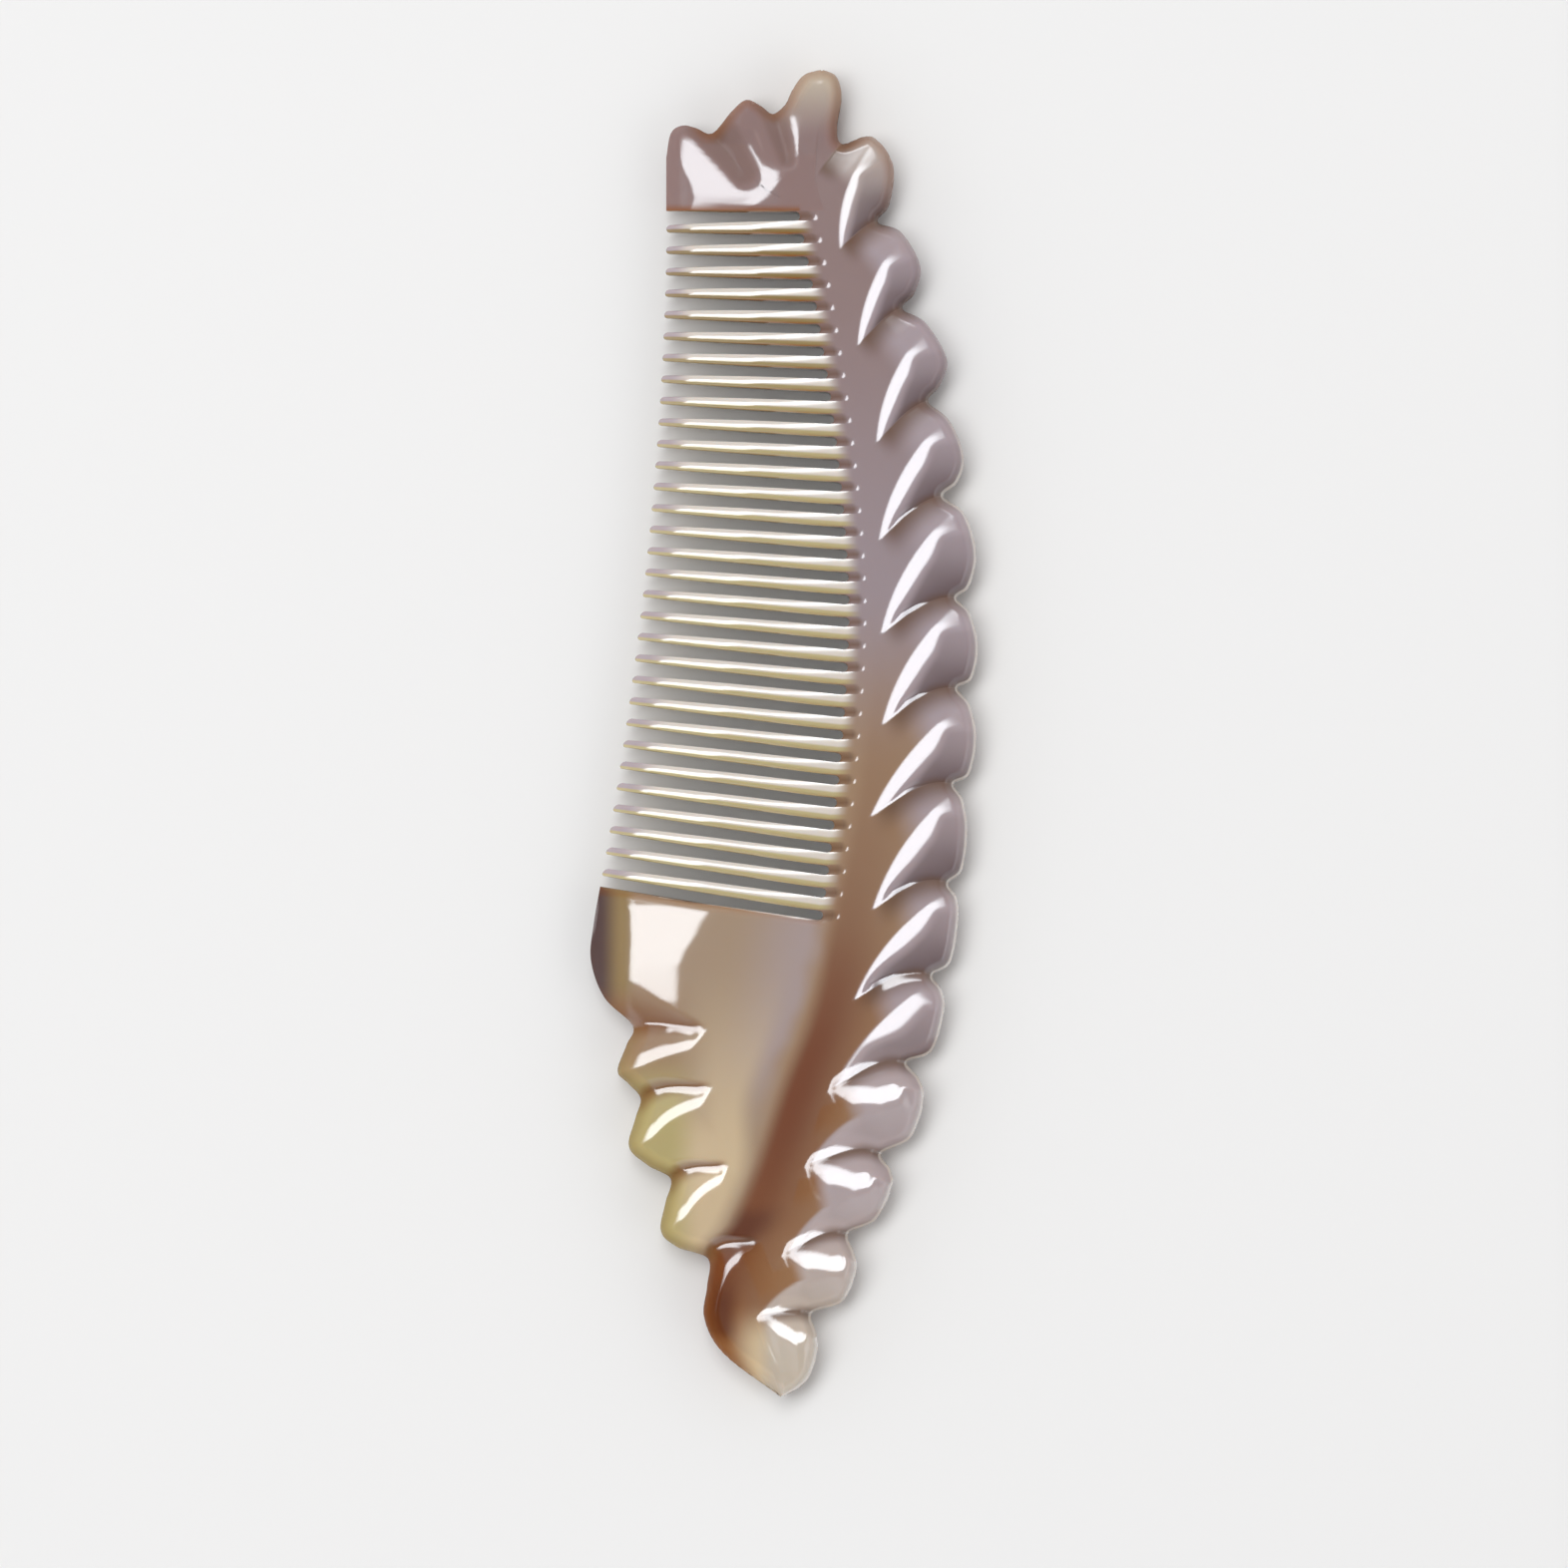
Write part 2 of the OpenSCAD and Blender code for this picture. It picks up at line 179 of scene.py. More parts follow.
# The curve by which the teeth taper, and the share of their length where the cuts' round ends begin
TAPER_CURVE, ROUND_START = 1.8, 0.97
# How far inside the grooves' tips the lobed side's carving begins
INNER_GAP = 0.8
# The zone behind the roots, and the saw's pit in it: end, start of its round end, half width and slope
PIT_ZONE = 2.2
PIT_END, PIT_ROUND, PIT_HALF, PIT_SLOPE = 1.95, 1.6, 0.7, 0.17

# Rows of the mesh above and below the teeth: place on the left side, place on the lobed side,
# end of the left zone, and rows since the line before
UPPER_RUNGS = (
    (0.02, 0.02, (4.2, 74.8), 0), (0.5, 0.5, (2.8, 70.6), 10), (1.0, 1.0, (0.3, 64.5), 14),
    (2.0, 1.2, (-2.2, 61.3), 16), (3.0, 1.35, (0.0, 60.2), 16),
)
UPPER_LAST_ROWS = 8
LOWER_RUNGS = (
    (5.72, 10.0, (-5.3, -30.3), 36), (6.0, 10.3, (-7.9, -33.2), 11), (7.0, 11.0, (-7.2, -39.6), 26),
    (8.0, 12.0, (-5.4, -48.4), 34), (9.0, 13.0, (-2.2, -56.9), 34), (9.5, 14.0, (-4.8, -65.2), 28),
    (9.985, 14.97, (-0.4, -74.9), 34),
)
# The notches of the lobed side beside the teeth
TOOTH_NOTCHES = range(2, 10)
# Places across a saw cut, from its upper wall to its lower one
CUT_PLACES = (1.0, 0.866, 0.5, 0.0, -0.5, -0.866)
# Heights at places across a tooth, as shares of its crown's fall, and the share of it left at the roots
TOOTH_HEIGHTS = {0.0: -1.0, 0.1: -0.55, 0.36: -0.27, 0.66: 0.0, 0.88: -0.3}
ROOT_CROWN = 0.2
# Columns of the mesh in the left zone, the pit zone, the middle and the lobed zone
LEFT_COLUMNS, PIT_COLUMNS, MIDDLE_COLUMNS, LOBE_COLUMNS = 32, 10, 5, 38
COLUMNS = LEFT_COLUMNS + PIT_COLUMNS + MIDDLE_COLUMNS + LOBE_COLUMNS
# How much the columns crowd towards the tooth tips and towards the lobed outline
TIP_CROWDING, LOBE_CROWDING = 1.5, 1.25
# Points for each step of the outline and of its straight end, and places along a groove
OUTLINE_STEPS, STRAIGHT_STEPS, PROFILE_STEPS = 24, 60, 60
# Height of the outline's edge above and below the middle plane, and the width of its rounding along
# the lobed side, the upper left side, that side's straight end and the lower left side
EDGE = 0.25
ROUND_WIDTHS = (1.2, 1.2, 1.3, 1.6)
# Faces that meet at less than this angle are shaded as one
SMOOTH_ANGLE = radians(42)

# The photo: its width, its scale, and y on the comb at its middle; and the camera's lens, which aims at
# the middle of the comb's thickness
PHOTO_PIXELS, PIXELS_PER_MM, PHOTO_MIDDLE_Y = 1572, 8.873, -5.69
LENS = 250
COMB_MIDDLE = 0.003
# The softboxes: distance, colour, fade towards the edges, sizes, and the fill's place
SOFTBOX_DISTANCE = 2.0
SOFTBOX_COLOR = (0.91, 0.955, 1.0)
SOFTBOX_FADE = (0.5, 0.22)
KEY_SIZE, FILL_SIZE = (1.0, 2.6), (1.2, 1.6)
FILL_TILT, FILL_TURN = radians(50), radians(-25)
# The sky, which is darker overhead: its colour, the share of the way up, and the strength there
SKY_COLOR = (0.93, 0.95, 1.0, 1)
SKY_FADE = (0.45, 0.95, 1.0, 0.15)
FLOOR_SIZE = 8


def mix(a, b, t):
    """A value or vector between a and b."""
    return a + (b - a) * t


def clamp(v, low=0.0, high=1.0):
    """v kept between low and high."""
    return max(low, min(high, v))


def smooth(v):
    """A soft step from 0 to 1."""
    c = clamp(v)
    return c * c * (3 - 2 * c)


def step(value, low, high):
    """A soft step from 0 where the value is low to 1 where it is high; high can be the smaller one."""
    return smooth((value - low) / (high - low))


def arch(v):
    """Height of a half circle of radius 1 at v from its middle."""
    return sqrt(max(0.0, 1 - v * v))


def ramp(x, softness):
    """x above 0 and 0 below it, with the corner rounded over the softness to both sides."""
    if x <= -softness:
        return 0.0
    if x >= softness:
        return x
    return (x + softness) ** 2 / (4 * softness)


def profile(q, start, slopes):
    """Height at q of a line that starts at a height and changes slope at each (place, slope, softness)."""
    height, before = start, 0.0
    for place, slope, softness in slopes:
        height += (slope - before) * ramp(q - place, softness)
        before = slope
    return height


def from_table(rows, x):
    """The second value of a table of falling first values, at x."""
    for (a, first), (b, second) in zip(rows, rows[1:]):
        if x >= b:
            return mix(first, second, clamp((a - x) / (a - b)))
    return rows[-1][1]


def at_place(values, place):
    """The value at a place between the entries of a list."""
    i = int(clamp(place, 0, len(values) - 2))
    return mix(values[i], values[i + 1], clamp(place - i))


class Bow:
    """A shallow curve from a to b that bulges to its left; its peak is at a share of its length."""

    def __init__(self, a, b, bulge, late=True):
        self.a, self.line, self.bulge, self.late = a, b - a, bulge, late
        self.length = self.line.length
        self.left = Vector((-self.line.y, self.line.x)) / self.length

    def bent(self, t):
        """The bulge at a share of the length."""
        if self.late:
            c = clamp(t)
            return self.bulge * 27 / 4 * c * c * (1 - c)
        return self.bulge * 4 * max(t, 0.0) * (1 - min(t, 1.3))

    def point(self, t):
        """A point of the curve."""
        return self.a + self.line * t + self.left * self.bent(t)

    def beside(self, p):
        """Share of the length at a point, and the point's distance to the right of the curve."""
        v = p - self.a
        t = v.dot(self.line) / self.length ** 2
        return t, self.bent(t) - v.dot(self.left)


def on_curve(pts, place):
    """A point of the smooth curve through pts; it meets every point at a whole place."""
    i = min(len(pts) - 2, int(place))
    t = place - i
    b, c = pts[i], pts[i + 1]
    a = pts[i - 1] if i > 0 else 2 * b - c
    d = pts[i + 2] if i + 2 < len(pts) else 2 * c - b
    return 0.5 * (2 * b + (c - a) * t + (2 * a - 5 * b + 4 * c - d) * t ** 2
                  + (3 * b - a - 3 * c + d) * t ** 3)


LOBED_SIDE = [TOP] + points(LOBES)
UPPER_SIDE = [TOP] + points(UPPER_LEFT)
LOWER_SIDE = [LAST_TIP] + points(LOWER_LEFT)
INNER_LINE = [TOP] + [tip - Vector((INNER_GAP, 0)) for tip in GROOVE_TIPS] + [TAIL]
GROOVE_BOWS = [bow for _, bow in GROOVES]
GUARD_BOWS = [bow for _, bow, _ in GUARD_GROOVES]


def tip_x(y):
    """x of the tooth tips at a height on the comb."""
    share = clamp((FIRST_TIP.y - y) / (FIRST_TIP.y - LAST_TIP.y))
    return mix(FIRST_TIP.x, LAST_TIP.x, share ** TIP_CURVE)


def root_x(y):
    """x of the saw cuts' roots at a height on the comb."""
    if y > ROOT_MID_Y:
        return ROOT_X - ROOT_FALL_UP * ((y - ROOT_MID_Y) / (ROOT_Y[0] - ROOT_MID_Y)) ** ROOT_CURVE
    return ROOT_X - ROOT_FALL_LOW * ((ROOT_MID_Y - y) / (ROOT_MID_Y - ROOT_Y[1])) ** ROOT_CURVE


def left_point(place):
    """A point of the left outline: 0 to 4 above the saw cuts, 5 to 10 below them."""
    if place <= 3:
        return on_curve(UPPER_SIDE, 4 * place)
    if place <= 4:
        return mix(UPPER_SIDE[-1], FIRST_TIP, place - 3)
    return on_curve(LOWER_SIDE, 4 * (place - 5))


def inner_place(y):
    """Where the inner line is at a height on the comb."""
    for i in range(len(INNER_LINE) - 1):
        a, b = INNER_LINE[i].y, INNER_LINE[i + 1].y
        if b <= y:
            return i + (a - y) / (a - b)
    return len(INNER_LINE) - 1.0


class Row:
    """One row of the mesh across the comb: its corner points, and what it crosses."""

    def __init__(self, corners, left, lobe, cut=None, across=0.0, tooth=None):
        self.corners = corners
        self.left = left      # place on the left outline, None along the teeth
        self.lobe = lobe      # place on the lobed outline
        self.cut = cut        # the saw cut that it crosses, or the one above its tooth
        self.across = across  # place across the cut, 1 to -1, or across the tooth, 0 to 1
        self.tooth = tooth    # True on a tooth, False in a cut, None elsewhere


class Plan:
    """The comb seen from above: where every vertex of the mesh lies."""

    def __init__(self, shape):
        self.tooth_root = shape.tooth_root_width / MM
        self.tooth_tip = shape.tooth_tip_width / MM
        self.rows = self.make_rows()

    def cut_middle(self, cut, u):
        """y of a saw cut's middle line, from its tip at u = 0 to its root at u = 1."""
        share = cut / (CUTS - 1)
        return mix(mix(FIRST_TIP.y, LAST_TIP.y, share), mix(*ROOT_Y, share), u)

    def cut_half(self, u):
        """Half the width of a saw cut."""
        pitch = mix(FIRST_TIP.y - LAST_TIP.y, ROOT_Y[0] - ROOT_Y[1], u) / (CUTS - 1)
        return (pitch - mix(self.tooth_root, self.tooth_tip, (1 - u) ** TAPER_CURVE)) / 2

    def tooth_point(self, row, u):
        """A point of a row that runs along a tooth or a saw cut, from the tip to the root."""
        upper, half = self.cut_middle(row.cut, u), self.cut_half(u)
        if row.tooth:
            y = mix(upper - half, self.cut_middle(row.cut + 1, u) + half, row.across)
            cut, side, round_end = row.cut + row.across, 2 * row.across - 1, 0.0
        else:
            y = upper + row.across * half
            cut, side, round_end = row.cut, 1.0, arch(row.across) * step(u, ROUND_START, 1.0)
        start = tip_x(self.cut_middle(cut, 0.0)) + self.tooth_tip / 2 * (1 - arch(side))
        end = root_x(self.cut_middle(cut, 1.0)) + self.cut_half(1.0) * (round_end - 1)
        return Vector((mix(start, end, u), y))

    def tooth_row(self, cut, across, tooth):
        """A row along a tooth or a saw cut."""
        row = Row(None, None, None, cut, across, tooth)
        root = self.tooth_point(row, 1.0)
        row.corners = [None, root, Vector((root_x(root.y) + PIT_ZONE, root.y)), None, None]
        row.lobe = inner_place(root.y)
        return row

    def make_rows(self):
        """All rows from the top lobe to the tail."""
        rows = [self.rung(*UPPER_RUNGS[0][:3])]
        self.extend(rows, UPPER_RUNGS[1:])
        teeth = []
        for cut in range(CUTS):
            teeth += [self.tooth_row(cut, place, False) for place in CUT_PLACES]
            if cut < CUTS - 1:
                teeth += [self.tooth_row(cut, place, True) for place in TOOTH_HEIGHTS]
        teeth.append(self.tooth_row(CUTS - 1, -1.0, False))
        self.snap_to_notches(teeth)
        rows += self.between(rows[-1], teeth[0], UPPER_LAST_ROWS)[:-1] + teeth
        self.extend(rows, LOWER_RUNGS)
        return rows

    def extend(self, rows, rungs):
        """Adds the rows down to each of the rungs."""
        for *rung, count in rungs:
            rows += self.between(rows[-1], self.rung(*rung), count)

    @staticmethod
    def finish(row):
        """Sets the corners on the lobed side from the row's place there."""
        row.corners[3] = at_place(INNER_LINE, row.lobe)
        row.corners[4] = on_curve(LOBED_SIDE, 4 * row.lobe)
        return row

    def rung(self, left, lobe, left_end):
        """A row between two places of the outline."""
        left_end = Vector(left_end)
        pit_end = mix(left_end, at_place(INNER_LINE, lobe), 0.6)
        return self.finish(Row([left_point(left), left_end, pit_end, None, None], left, lobe))

    def between(self, above, below, count):
        """Rows that lead from one row to the next, the last one included."""
        rows = []
        start = above.left if above.tooth is None else 5.0
        end = below.left if below.tooth is None else 4.0
        for k in range(1, count + 1):
            t = k / count
            left = mix(start, end, t)
            pair = [mix(above.corners[c], below.corners[c], t) for c in (1, 2)]
            row = Row([left_point(left), *pair, None, None], left, mix(above.lobe, below.lobe, t))
            rows.append(self.finish(row))
        return rows

    def snap_to_notches(self, rows):
        """Shifts the rows' places on the lobed side a little, so that one row meets every notch."""
        knots = [(0, rows[0].lobe)]
        for notch in TOOTH_NOTCHES:
            near = min(range(len(rows)), key=lambda r: abs(rows[r].lobe - notch))
            knots.append((near, float(notch)))
        knots.append((len(rows) - 1, rows[-1].lobe))
        for (a, first), (b, last) in zip(knots, knots[1:]):
            for r in range(a, b + 1):
                rows[r].lobe = mix(first, last, (r - a) / max(1, b - a))
        for row in rows:
            self.finish(row)

    def point(self, row, column):
        """Plan point of a column of a row, with its zone and its share of that zone."""
        if column <= LEFT_COLUMNS:
            share = column / LEFT_COLUMNS
            if row.tooth is not None:
                u = share ** TIP_CROWDING
                return self.tooth_point(row, u), "left", u
            u = share ** mix(TIP_CROWDING, 1.0, step(row.left, 5.0, 5.5))
            if row.left > 5:
                bulge = at_place(GUARD_BOWS, row.left - 6) * min(1, row.left - 5, 10 - row.left)
                return Bow(row.corners[1], row.corners[0], -bulge).point(1 - u), "left", u
            return mix(row.corners[0], row.corners[1], u), "left", u
        column -= LEFT_COLUMNS
        for zone, count, corner in (("pit", PIT_COLUMNS, 1), ("middle", MIDDLE_COLUMNS, 2)):
            if column <= count:
                t = column / count
                return mix(row.corners[corner], row.corners[corner + 1], t), zone, t
            column -= count
        t = 1 - (1 - column / LOBE_COLUMNS) ** LOBE_CROWDING
        bulge = at_place(GROOVE_BOWS, row.lobe - 1) * clamp(len(LOBES) - row.lobe)
        return Bow(row.corners[3], row.corners[4], bulge).point(t), "lobe", t


def outline_tree():
    """A search tree of the rounded outline, and the rounding's width at each of its points."""
    def along(side):
        """Points along one side."""
        return [on_curve(side, k / OUTLINE_STEPS) for k in range(OUTLINE_STEPS * (len(side) - 1) + 1)]

    corner = Vector((FIRST_TIP.x, 59.2))
    straight = [mix(UPPER_SIDE[-1], corner, k / STRAIGHT_STEPS) for k in range(STRAIGHT_STEPS)]
    parts = along(LOBED_SIDE), along(UPPER_SIDE), straight, along(LOWER_SIDE)
    samples = [(p, width) for part, width in zip(parts, ROUND_WIDTHS) for p in part]
    tree = KDTree(len(samples))
    for k, (p, _) in enumerate(samples):
        tree.insert((p.x, p.y, 0), k)
    tree.balance()
    return tree, [width for _, width in samples]


class Relief:
    """Heights of the carved faces above and below the comb's middle plane, and masks for the colours."""

    # side: place across a tooth, which splits its painted lit upper half from its painted shaded lower half;
    # tooth: on a tooth;
    # lobe: on the lobes, painted paler partly as sheen; cell: on the face that falls to a groove, painted
    # darker as shade;
    # valley: beside a groove and in a scoop, painted brown partly as shade; rim: near the outline, where a
    # highlight line is painted on the lobes; edge: along the guards' sawn edges; pit: at a saw cut's root,
    # painted brown partly as shade;
    # along: place along a tooth; dull: where the polish is weak
    MASKS = ("side", "tooth", "lobe", "shaded_cell", "valley_tone_and_shade", "rim", "edge", "pit", "along", "dull")

    def __init__(self, plan, shape):
        self.plan = plan
        self.half = shape.thickness / MM / 2
        self.slope = shape.polish_slope
        self.guard_depth = shape.guard_groove_depth / MM
        self.crown = shape.tooth_crown / MM
        self.tree, self.round_widths = outline_tree()
        inner = Vector((INNER_GAP, 0))
        self.grooves = [Bow(tip - inner, Vector(LOBES[k][3]), GROOVE_BOWS[k])
                        for k, tip in enumerate(GROOVE_TIPS)]
        self.flanks = [None] + [Bow(GROOVE_TIPS[k], Vector(FLANKS[k][0]), FLANKS[k][1], False)
                                for k in range(1, len(FLANKS))]
        self.guard_grooves = [Bow(Vector(tip), Vector(LOWER_LEFT[k][3]), -bow)
                              for k, (tip, bow, _) in enumerate(GUARD_GROOVES)]
        self.top_leaf = Bow(*LEAF, False)
        numbers = range(len(GROOVES))
        self.lower = [step(k, 8.0, 11.0) for k in numbers]
        depths = shape.groove_depth_upper / MM, shape.groove_depth_lower / MM
        self.depths = [mix(*depths, low) for low in self.lower]
        self.limbs = [step(k, 2.5, 5.0) for k in numbers]
        self.deep = [k >= FIRST_DEEP for k in numbers]
        self.joins = [2.8 if depth < 0.2 else depth / 0.42 for depth in self.depths]
        self.profiles = [[self.groove_profile(k, n / PROFILE_STEPS) for n in range(PROFILE_STEPS + 1)]
                         for k in numbers]

    def bevel(self, p):
        """How far the long bevel along the teeth and guards lies below the flat middle."""
        if p.y > LAST_TIP.y:
            edge, steep = tip_x(p.y), mix(*STEEP_WIDTHS[:2], step(p.y, 60.5, 66.5))
        else:
            low = clamp((LAST_TIP.y - p.y) / 4)
            edge, steep = mix(LAST_TIP.x, GUARD_X, low), mix(*STEEP_WIDTHS[2:], low)
        e = p.x - edge
        fade = step(p.y, *BEVEL_FADE)
        beyond_scoop = (p.x + 7.9) + (p.y - 68.0) * 0.7
        past_end = p.y - from_table(BRIGHT_END, p.x) - 0.3
        strength = mix(1.0, BEVEL_LEFT, fade) * (1 - step(beyond_scoop, -0.6, 0.7) * smooth(past_end / 2.0))
        gentle_drop = GENTLE_SLOPE * ramp(from_table(BEVEL_REACH, p.y) - e, 0.5)
        return strength * (gentle_drop + STEEP_SLOPE * ramp(steep - e, 0.3) * (1 - fade))

    def flank_width(self, i, a):
        """Width of lobe i's bright flank at a share of its length, and its slope."""
        _, _, foot, width, first, last = FLANKS[i]
        full = mix(foot, width, step(a, first, last)) * smooth(a / 0.05)
        full *= mix(1, 0.8 if i == FIRST_DEEP else 0.45, step(a, 0.72, 1.0))
        spread = 1 + 3 * step(a, 0.92, 1.1)
        slope = self.slope * mix(1, 0.3, step(i, 9.5, 11.0) * smooth(a / 0.12))
        return full * spread, slope / spread

    def flank_rise(self, i, p):
        """Rise across lobe i's bright flank at a point, and how far the point is past the crest."""
        a, d = self.flanks[i].beside(p)
        width, slope = self.flank_width(i, a)
        soft = mix(0.2, 0.75, clamp(width / 2))
        return slope * (ramp(d, 0.2) - ramp(d - width, soft)), ramp(d - width, soft)

    def groove_profile(self, k, t):
        """Along groove k: bottom, the bright limb above it, and crest, wall slope, lift and gap below it."""
        groove = self.grooves[k]
        past_tip = t - INNER_GAP / groove.length
        if self.deep[k]:
            return self.deep_profile(past_tip, past_tip * groove.length, k == len(GROOVES) - 1)
        bottom = -self.depths[k] * (1 - (1 - clamp(past_tip / 0.92)) ** 2)
        limb = 0.0
        if k > 0:
            rise, past = self.flank_rise(k, groove.point(t))
            bottom = mix(rise, bottom, smooth(past / 1.5))
            limb = min(0.9 * past, mix(0.85, 0.5, step(t, 0.3, 0.6)))
        return bottom, limb * self.limbs[k] * step(t, 0.78, 0.58), 0.0, 0.0, 0.0, 0.0

    def deep_profile(self, past_tip, far, last):
        """The same for a deep groove, whose carving grows from its tip and ends before its notch."""
        grown = step(far, -0.5, 1.0)
        limb = (0.7 if last else 1.1) * grown
        crest = mix(0.9, 1.5 if last else 2.15, smooth(far / 2.2)) * grown
        gap = (0.4 if last else 1.0) * clamp((far - 0.9) / 4.0)
        wall = 1.8 * clamp((far - 0.7) / 3.4) if last else 1.2 * clamp((far - 0.8) / 4.2)
        bottom = 0.03 * max(far, 0.0)
        lift = bottom + self.slope * (limb + crest) + WALL_SLOPES[0] * wall
        bottom -= 0.7 * step(past_tip, 0.62, 0.92)
        limb *= 1 - clamp((past_tip - 0.1) / 0.55) ** 2
        crest *= 1 - step(past_tip, 0.69, 0.83)
        return bottom, limb, crest, mix(*WALL_SLOPES, step(past_tip, 0.6, 0.85)), lift, gap

    def groove_at(self, k, t):
        """Groove profile at a share of its length, from the stored table."""
        place = clamp(t) * PROFILE_STEPS
        i = min(int(place), PROFILE_STEPS - 1)
        return [mix(a, b, place - i) for a, b in zip(self.profiles[k][i], self.profiles[k][i + 1])]

    def wall_width(self, bottom, limb, crest, steep, lift, _):
        """Width of the wall below a deep groove, from the groove's profile."""
        return max(0.01, (lift - bottom - self.slope * (limb + crest)) / steep)

    def lobe(self, p, place):
        """Height of the carving on the lobed side."""
        i = min(int(place), len(GROOVES))
        height = 0.0
        if i >= 1:
            t, d = self.grooves[i - 1].beside(p)
            groove = self.groove_at(i - 1, t)
            bottom, limb, crest, steep, lift, gap = groove
            top = bottom + self.slope * limb
            if self.deep[i - 1]:
                foot = gap + self.wall_width(*groove)
                turns = ((gap, steep, 0.1 * clamp(gap) + 0.001), (foot, self.slope * (crest > 0.01), 0.2),
                         (foot + crest, -lift / CREST_FALL, 0.4), (foot + crest + CREST_FALL, 0.0, 0.5))
            else:
                join = self.joins[i - 1]
                turns = ((0.0, -top / join, 0.001), (join, 0.0, min(0.6, join / 3)))
            height = profile(max(d, 0.0), top, turns)
        if 1 <= i < len(GROOVES):
            t, d = self.grooves[i].beside(p)
            bottom, limb = self.groove_at(i, t)[:2]
            above = max(-d - limb, 0.0)
            rise, past = self.flank_rise(i, p)
            share = past / (past + above) if past > 0 else 0.0
            if self.deep[i]:
                share *= smooth(past / 0.8)
            foot = bottom - height - rise
            height += rise + foot * share ** 1.35 + self.slope * ramp(limb + min(d, 0.0), 0.06)
        elif i == 0:
            t, d = self.grooves[0].beside(p)
            height += self.groove_at(0, t)[0] * (1 - smooth(max(-d, 0.0) / 3.5))
        return height

    def guard(self, p, place):
        """Height of the carving on the lower left lobes."""
        if not 5.05 <= place <= 9.99:
            return 0.0
        first = floor(clamp(place - 6, -1, 3.999))
        height = 0.0
        for n in range(max(0, first), min(3, first + 1) + 1):
            t, right = self.guard_grooves[n].beside(p)
            inside, d = clamp(t), -right
            limb_size, wall_size, limb_end = GUARD_SIZES[n]
            grown = limb_size * clamp((t + 0.03) / 0.24)
            limb, streak = grown * mix(1.0, 0.55, inside), grown * mix(0.9, 1.35, inside)
            if n == 3:
                streak *= step(t, 0.3, 0.52)
            wall = GUARD_WALL * wall_size * clamp((t - 0.1) / 0.8)
            depth = LIMB_SLOPE * limb + self.guard_depth * 0.75 * wall / GUARD_WALL
            if d < 0:
                reach = 0.3 + (GUARD_GROOVES[n][2] - 0.3) * inside ** (1.4 if n == 0 else 1.0)
                height -= depth * ramp(reach + d, 0.15) / reach
            else:
                no_limb = smooth((t - limb_end) / 0.2)
                steep = (depth - LIMB_SLOPE * limb * (1 - no_limb)) / (wall + limb * no_limb + 0.01)
                foot, soft = limb + wall + 0.01, wall / 2 + 0.01
                height += profile(d, -depth, (
                    (0.0, mix(LIMB_SLOPE, steep, no_limb), 0.001), (limb, steep, min(0.12, soft)),
                    (foot, self.slope, min(0.2, soft)),
                    (foot + streak, -self.slope * streak / GUARD_FALL, 0.3),
                    (foot + streak + GUARD_FALL, 0.0, 0.5),
                ))
        return height

    def scoops(self, p):
        """Depth of the two scoops of the top guard."""
        deepest = 0.0
        for notch, tip, width, depth in SCOOPS:
            line = notch - tip
            t = (p - tip).dot(line) / line.length_squared
            side = abs(line.x * (p.y - tip.y) - line.y * (p.x - tip.x)) / line.length
            away = (p - tip).length if t < 0 else side
            reach = width * mix(0.85, 1.35, clamp(t))
            deepest = max(deepest, depth * mix(0.55, 1.0, clamp(t)) * ramp(1 - away / reach, 0.12))
        return deepest

    def leaf(self, p):
        """Height of the small bright ridge on the top lobe."""
        a, d = self.top_leaf.beside(p)
        width = 0.45 * sin(pi * clamp(a)) ** 1.5
        return self.slope * (ramp(d, 0.12) - ramp(d - width, 0.12)) * (1 - smooth((d - width) / 3.0))

    def tooth_top(self, row, u):
        """Height of a tooth's rounded crown under its ridge; the walls of a saw cut are at its foot."""
        height = TOOTH_HEIGHTS[row.across] if row.tooth else -1.0
        return height * self.crown * mix(1.0, ROOT_CROWN, step(u, 0.6, 1.0))

    def pit(self, row, t):
        """Depth of the saw's pit beyond a root."""
        e = t * PIT_ZONE
        half = PIT_HALF * arch(max(0.0, e - PIT_ROUND) / (PIT_END - PIT_ROUND))
        if row.tooth or half <= 0.05:
            return 0.0
        depth = PIT_SLOPE * ramp(PIT_END - e, 0.06) * step(e, 1.3, 1.45)
        return depth * (1 - smooth((abs(row.across) - 0.45 * half) / 0.42))

    @staticmethod
    def tail_share(row, t):
        """Lets the lobed side's carving begin softly on the tail, at t across the lobed zone."""
        return mix(1.0, smooth(t / 0.3), clamp((row.lobe - 14) * 3))

    def wall_distance(self, row, p):
        """Distance from a guard's straight edge along the first or the last saw cut."""
        if row.tooth is not None:
            return FAR
        cut, sign, root_y = (0, 1, ROOT_Y[0]) if row.left <= 4 else (CUTS - 1, -1, ROOT_Y[1])
        u = (p.x - tip_x(root_y)) / (root_x(root_y) - tip_x(root_y))
        if u >= 1:
            return FAR
        wall = self.plan.cut_middle(cut, clamp(u)) + sign * self.plan.cut_half(clamp(u))
        return max(0.0, sign * (p.y - wall))

    @staticmethod
    def tooth_masks(row, zone, share):
        """Masks on a tooth, in a saw cut and in the pit zone behind them."""
        behind = share * PIT_ZONE if zone == "pit" else 0.0
        along = share if zone == "left" else 1.0
        if row.tooth:
            return {"side": row.across, "tooth": 1 - smooth(behind / 1.6), "along": along}
        at_root = step(along, 0.93, 0.98)
        in_pit = step(behind, 1.6, 1.1) * (1 - 0.5 * abs(row.across))
        return {"side": float(row.across > 0), "tooth": 1 - at_root, "along": along,
                "pit": in_pit if zone == "pit" else at_root, "dull": at_root * step(behind, 1.2, 0.9)}

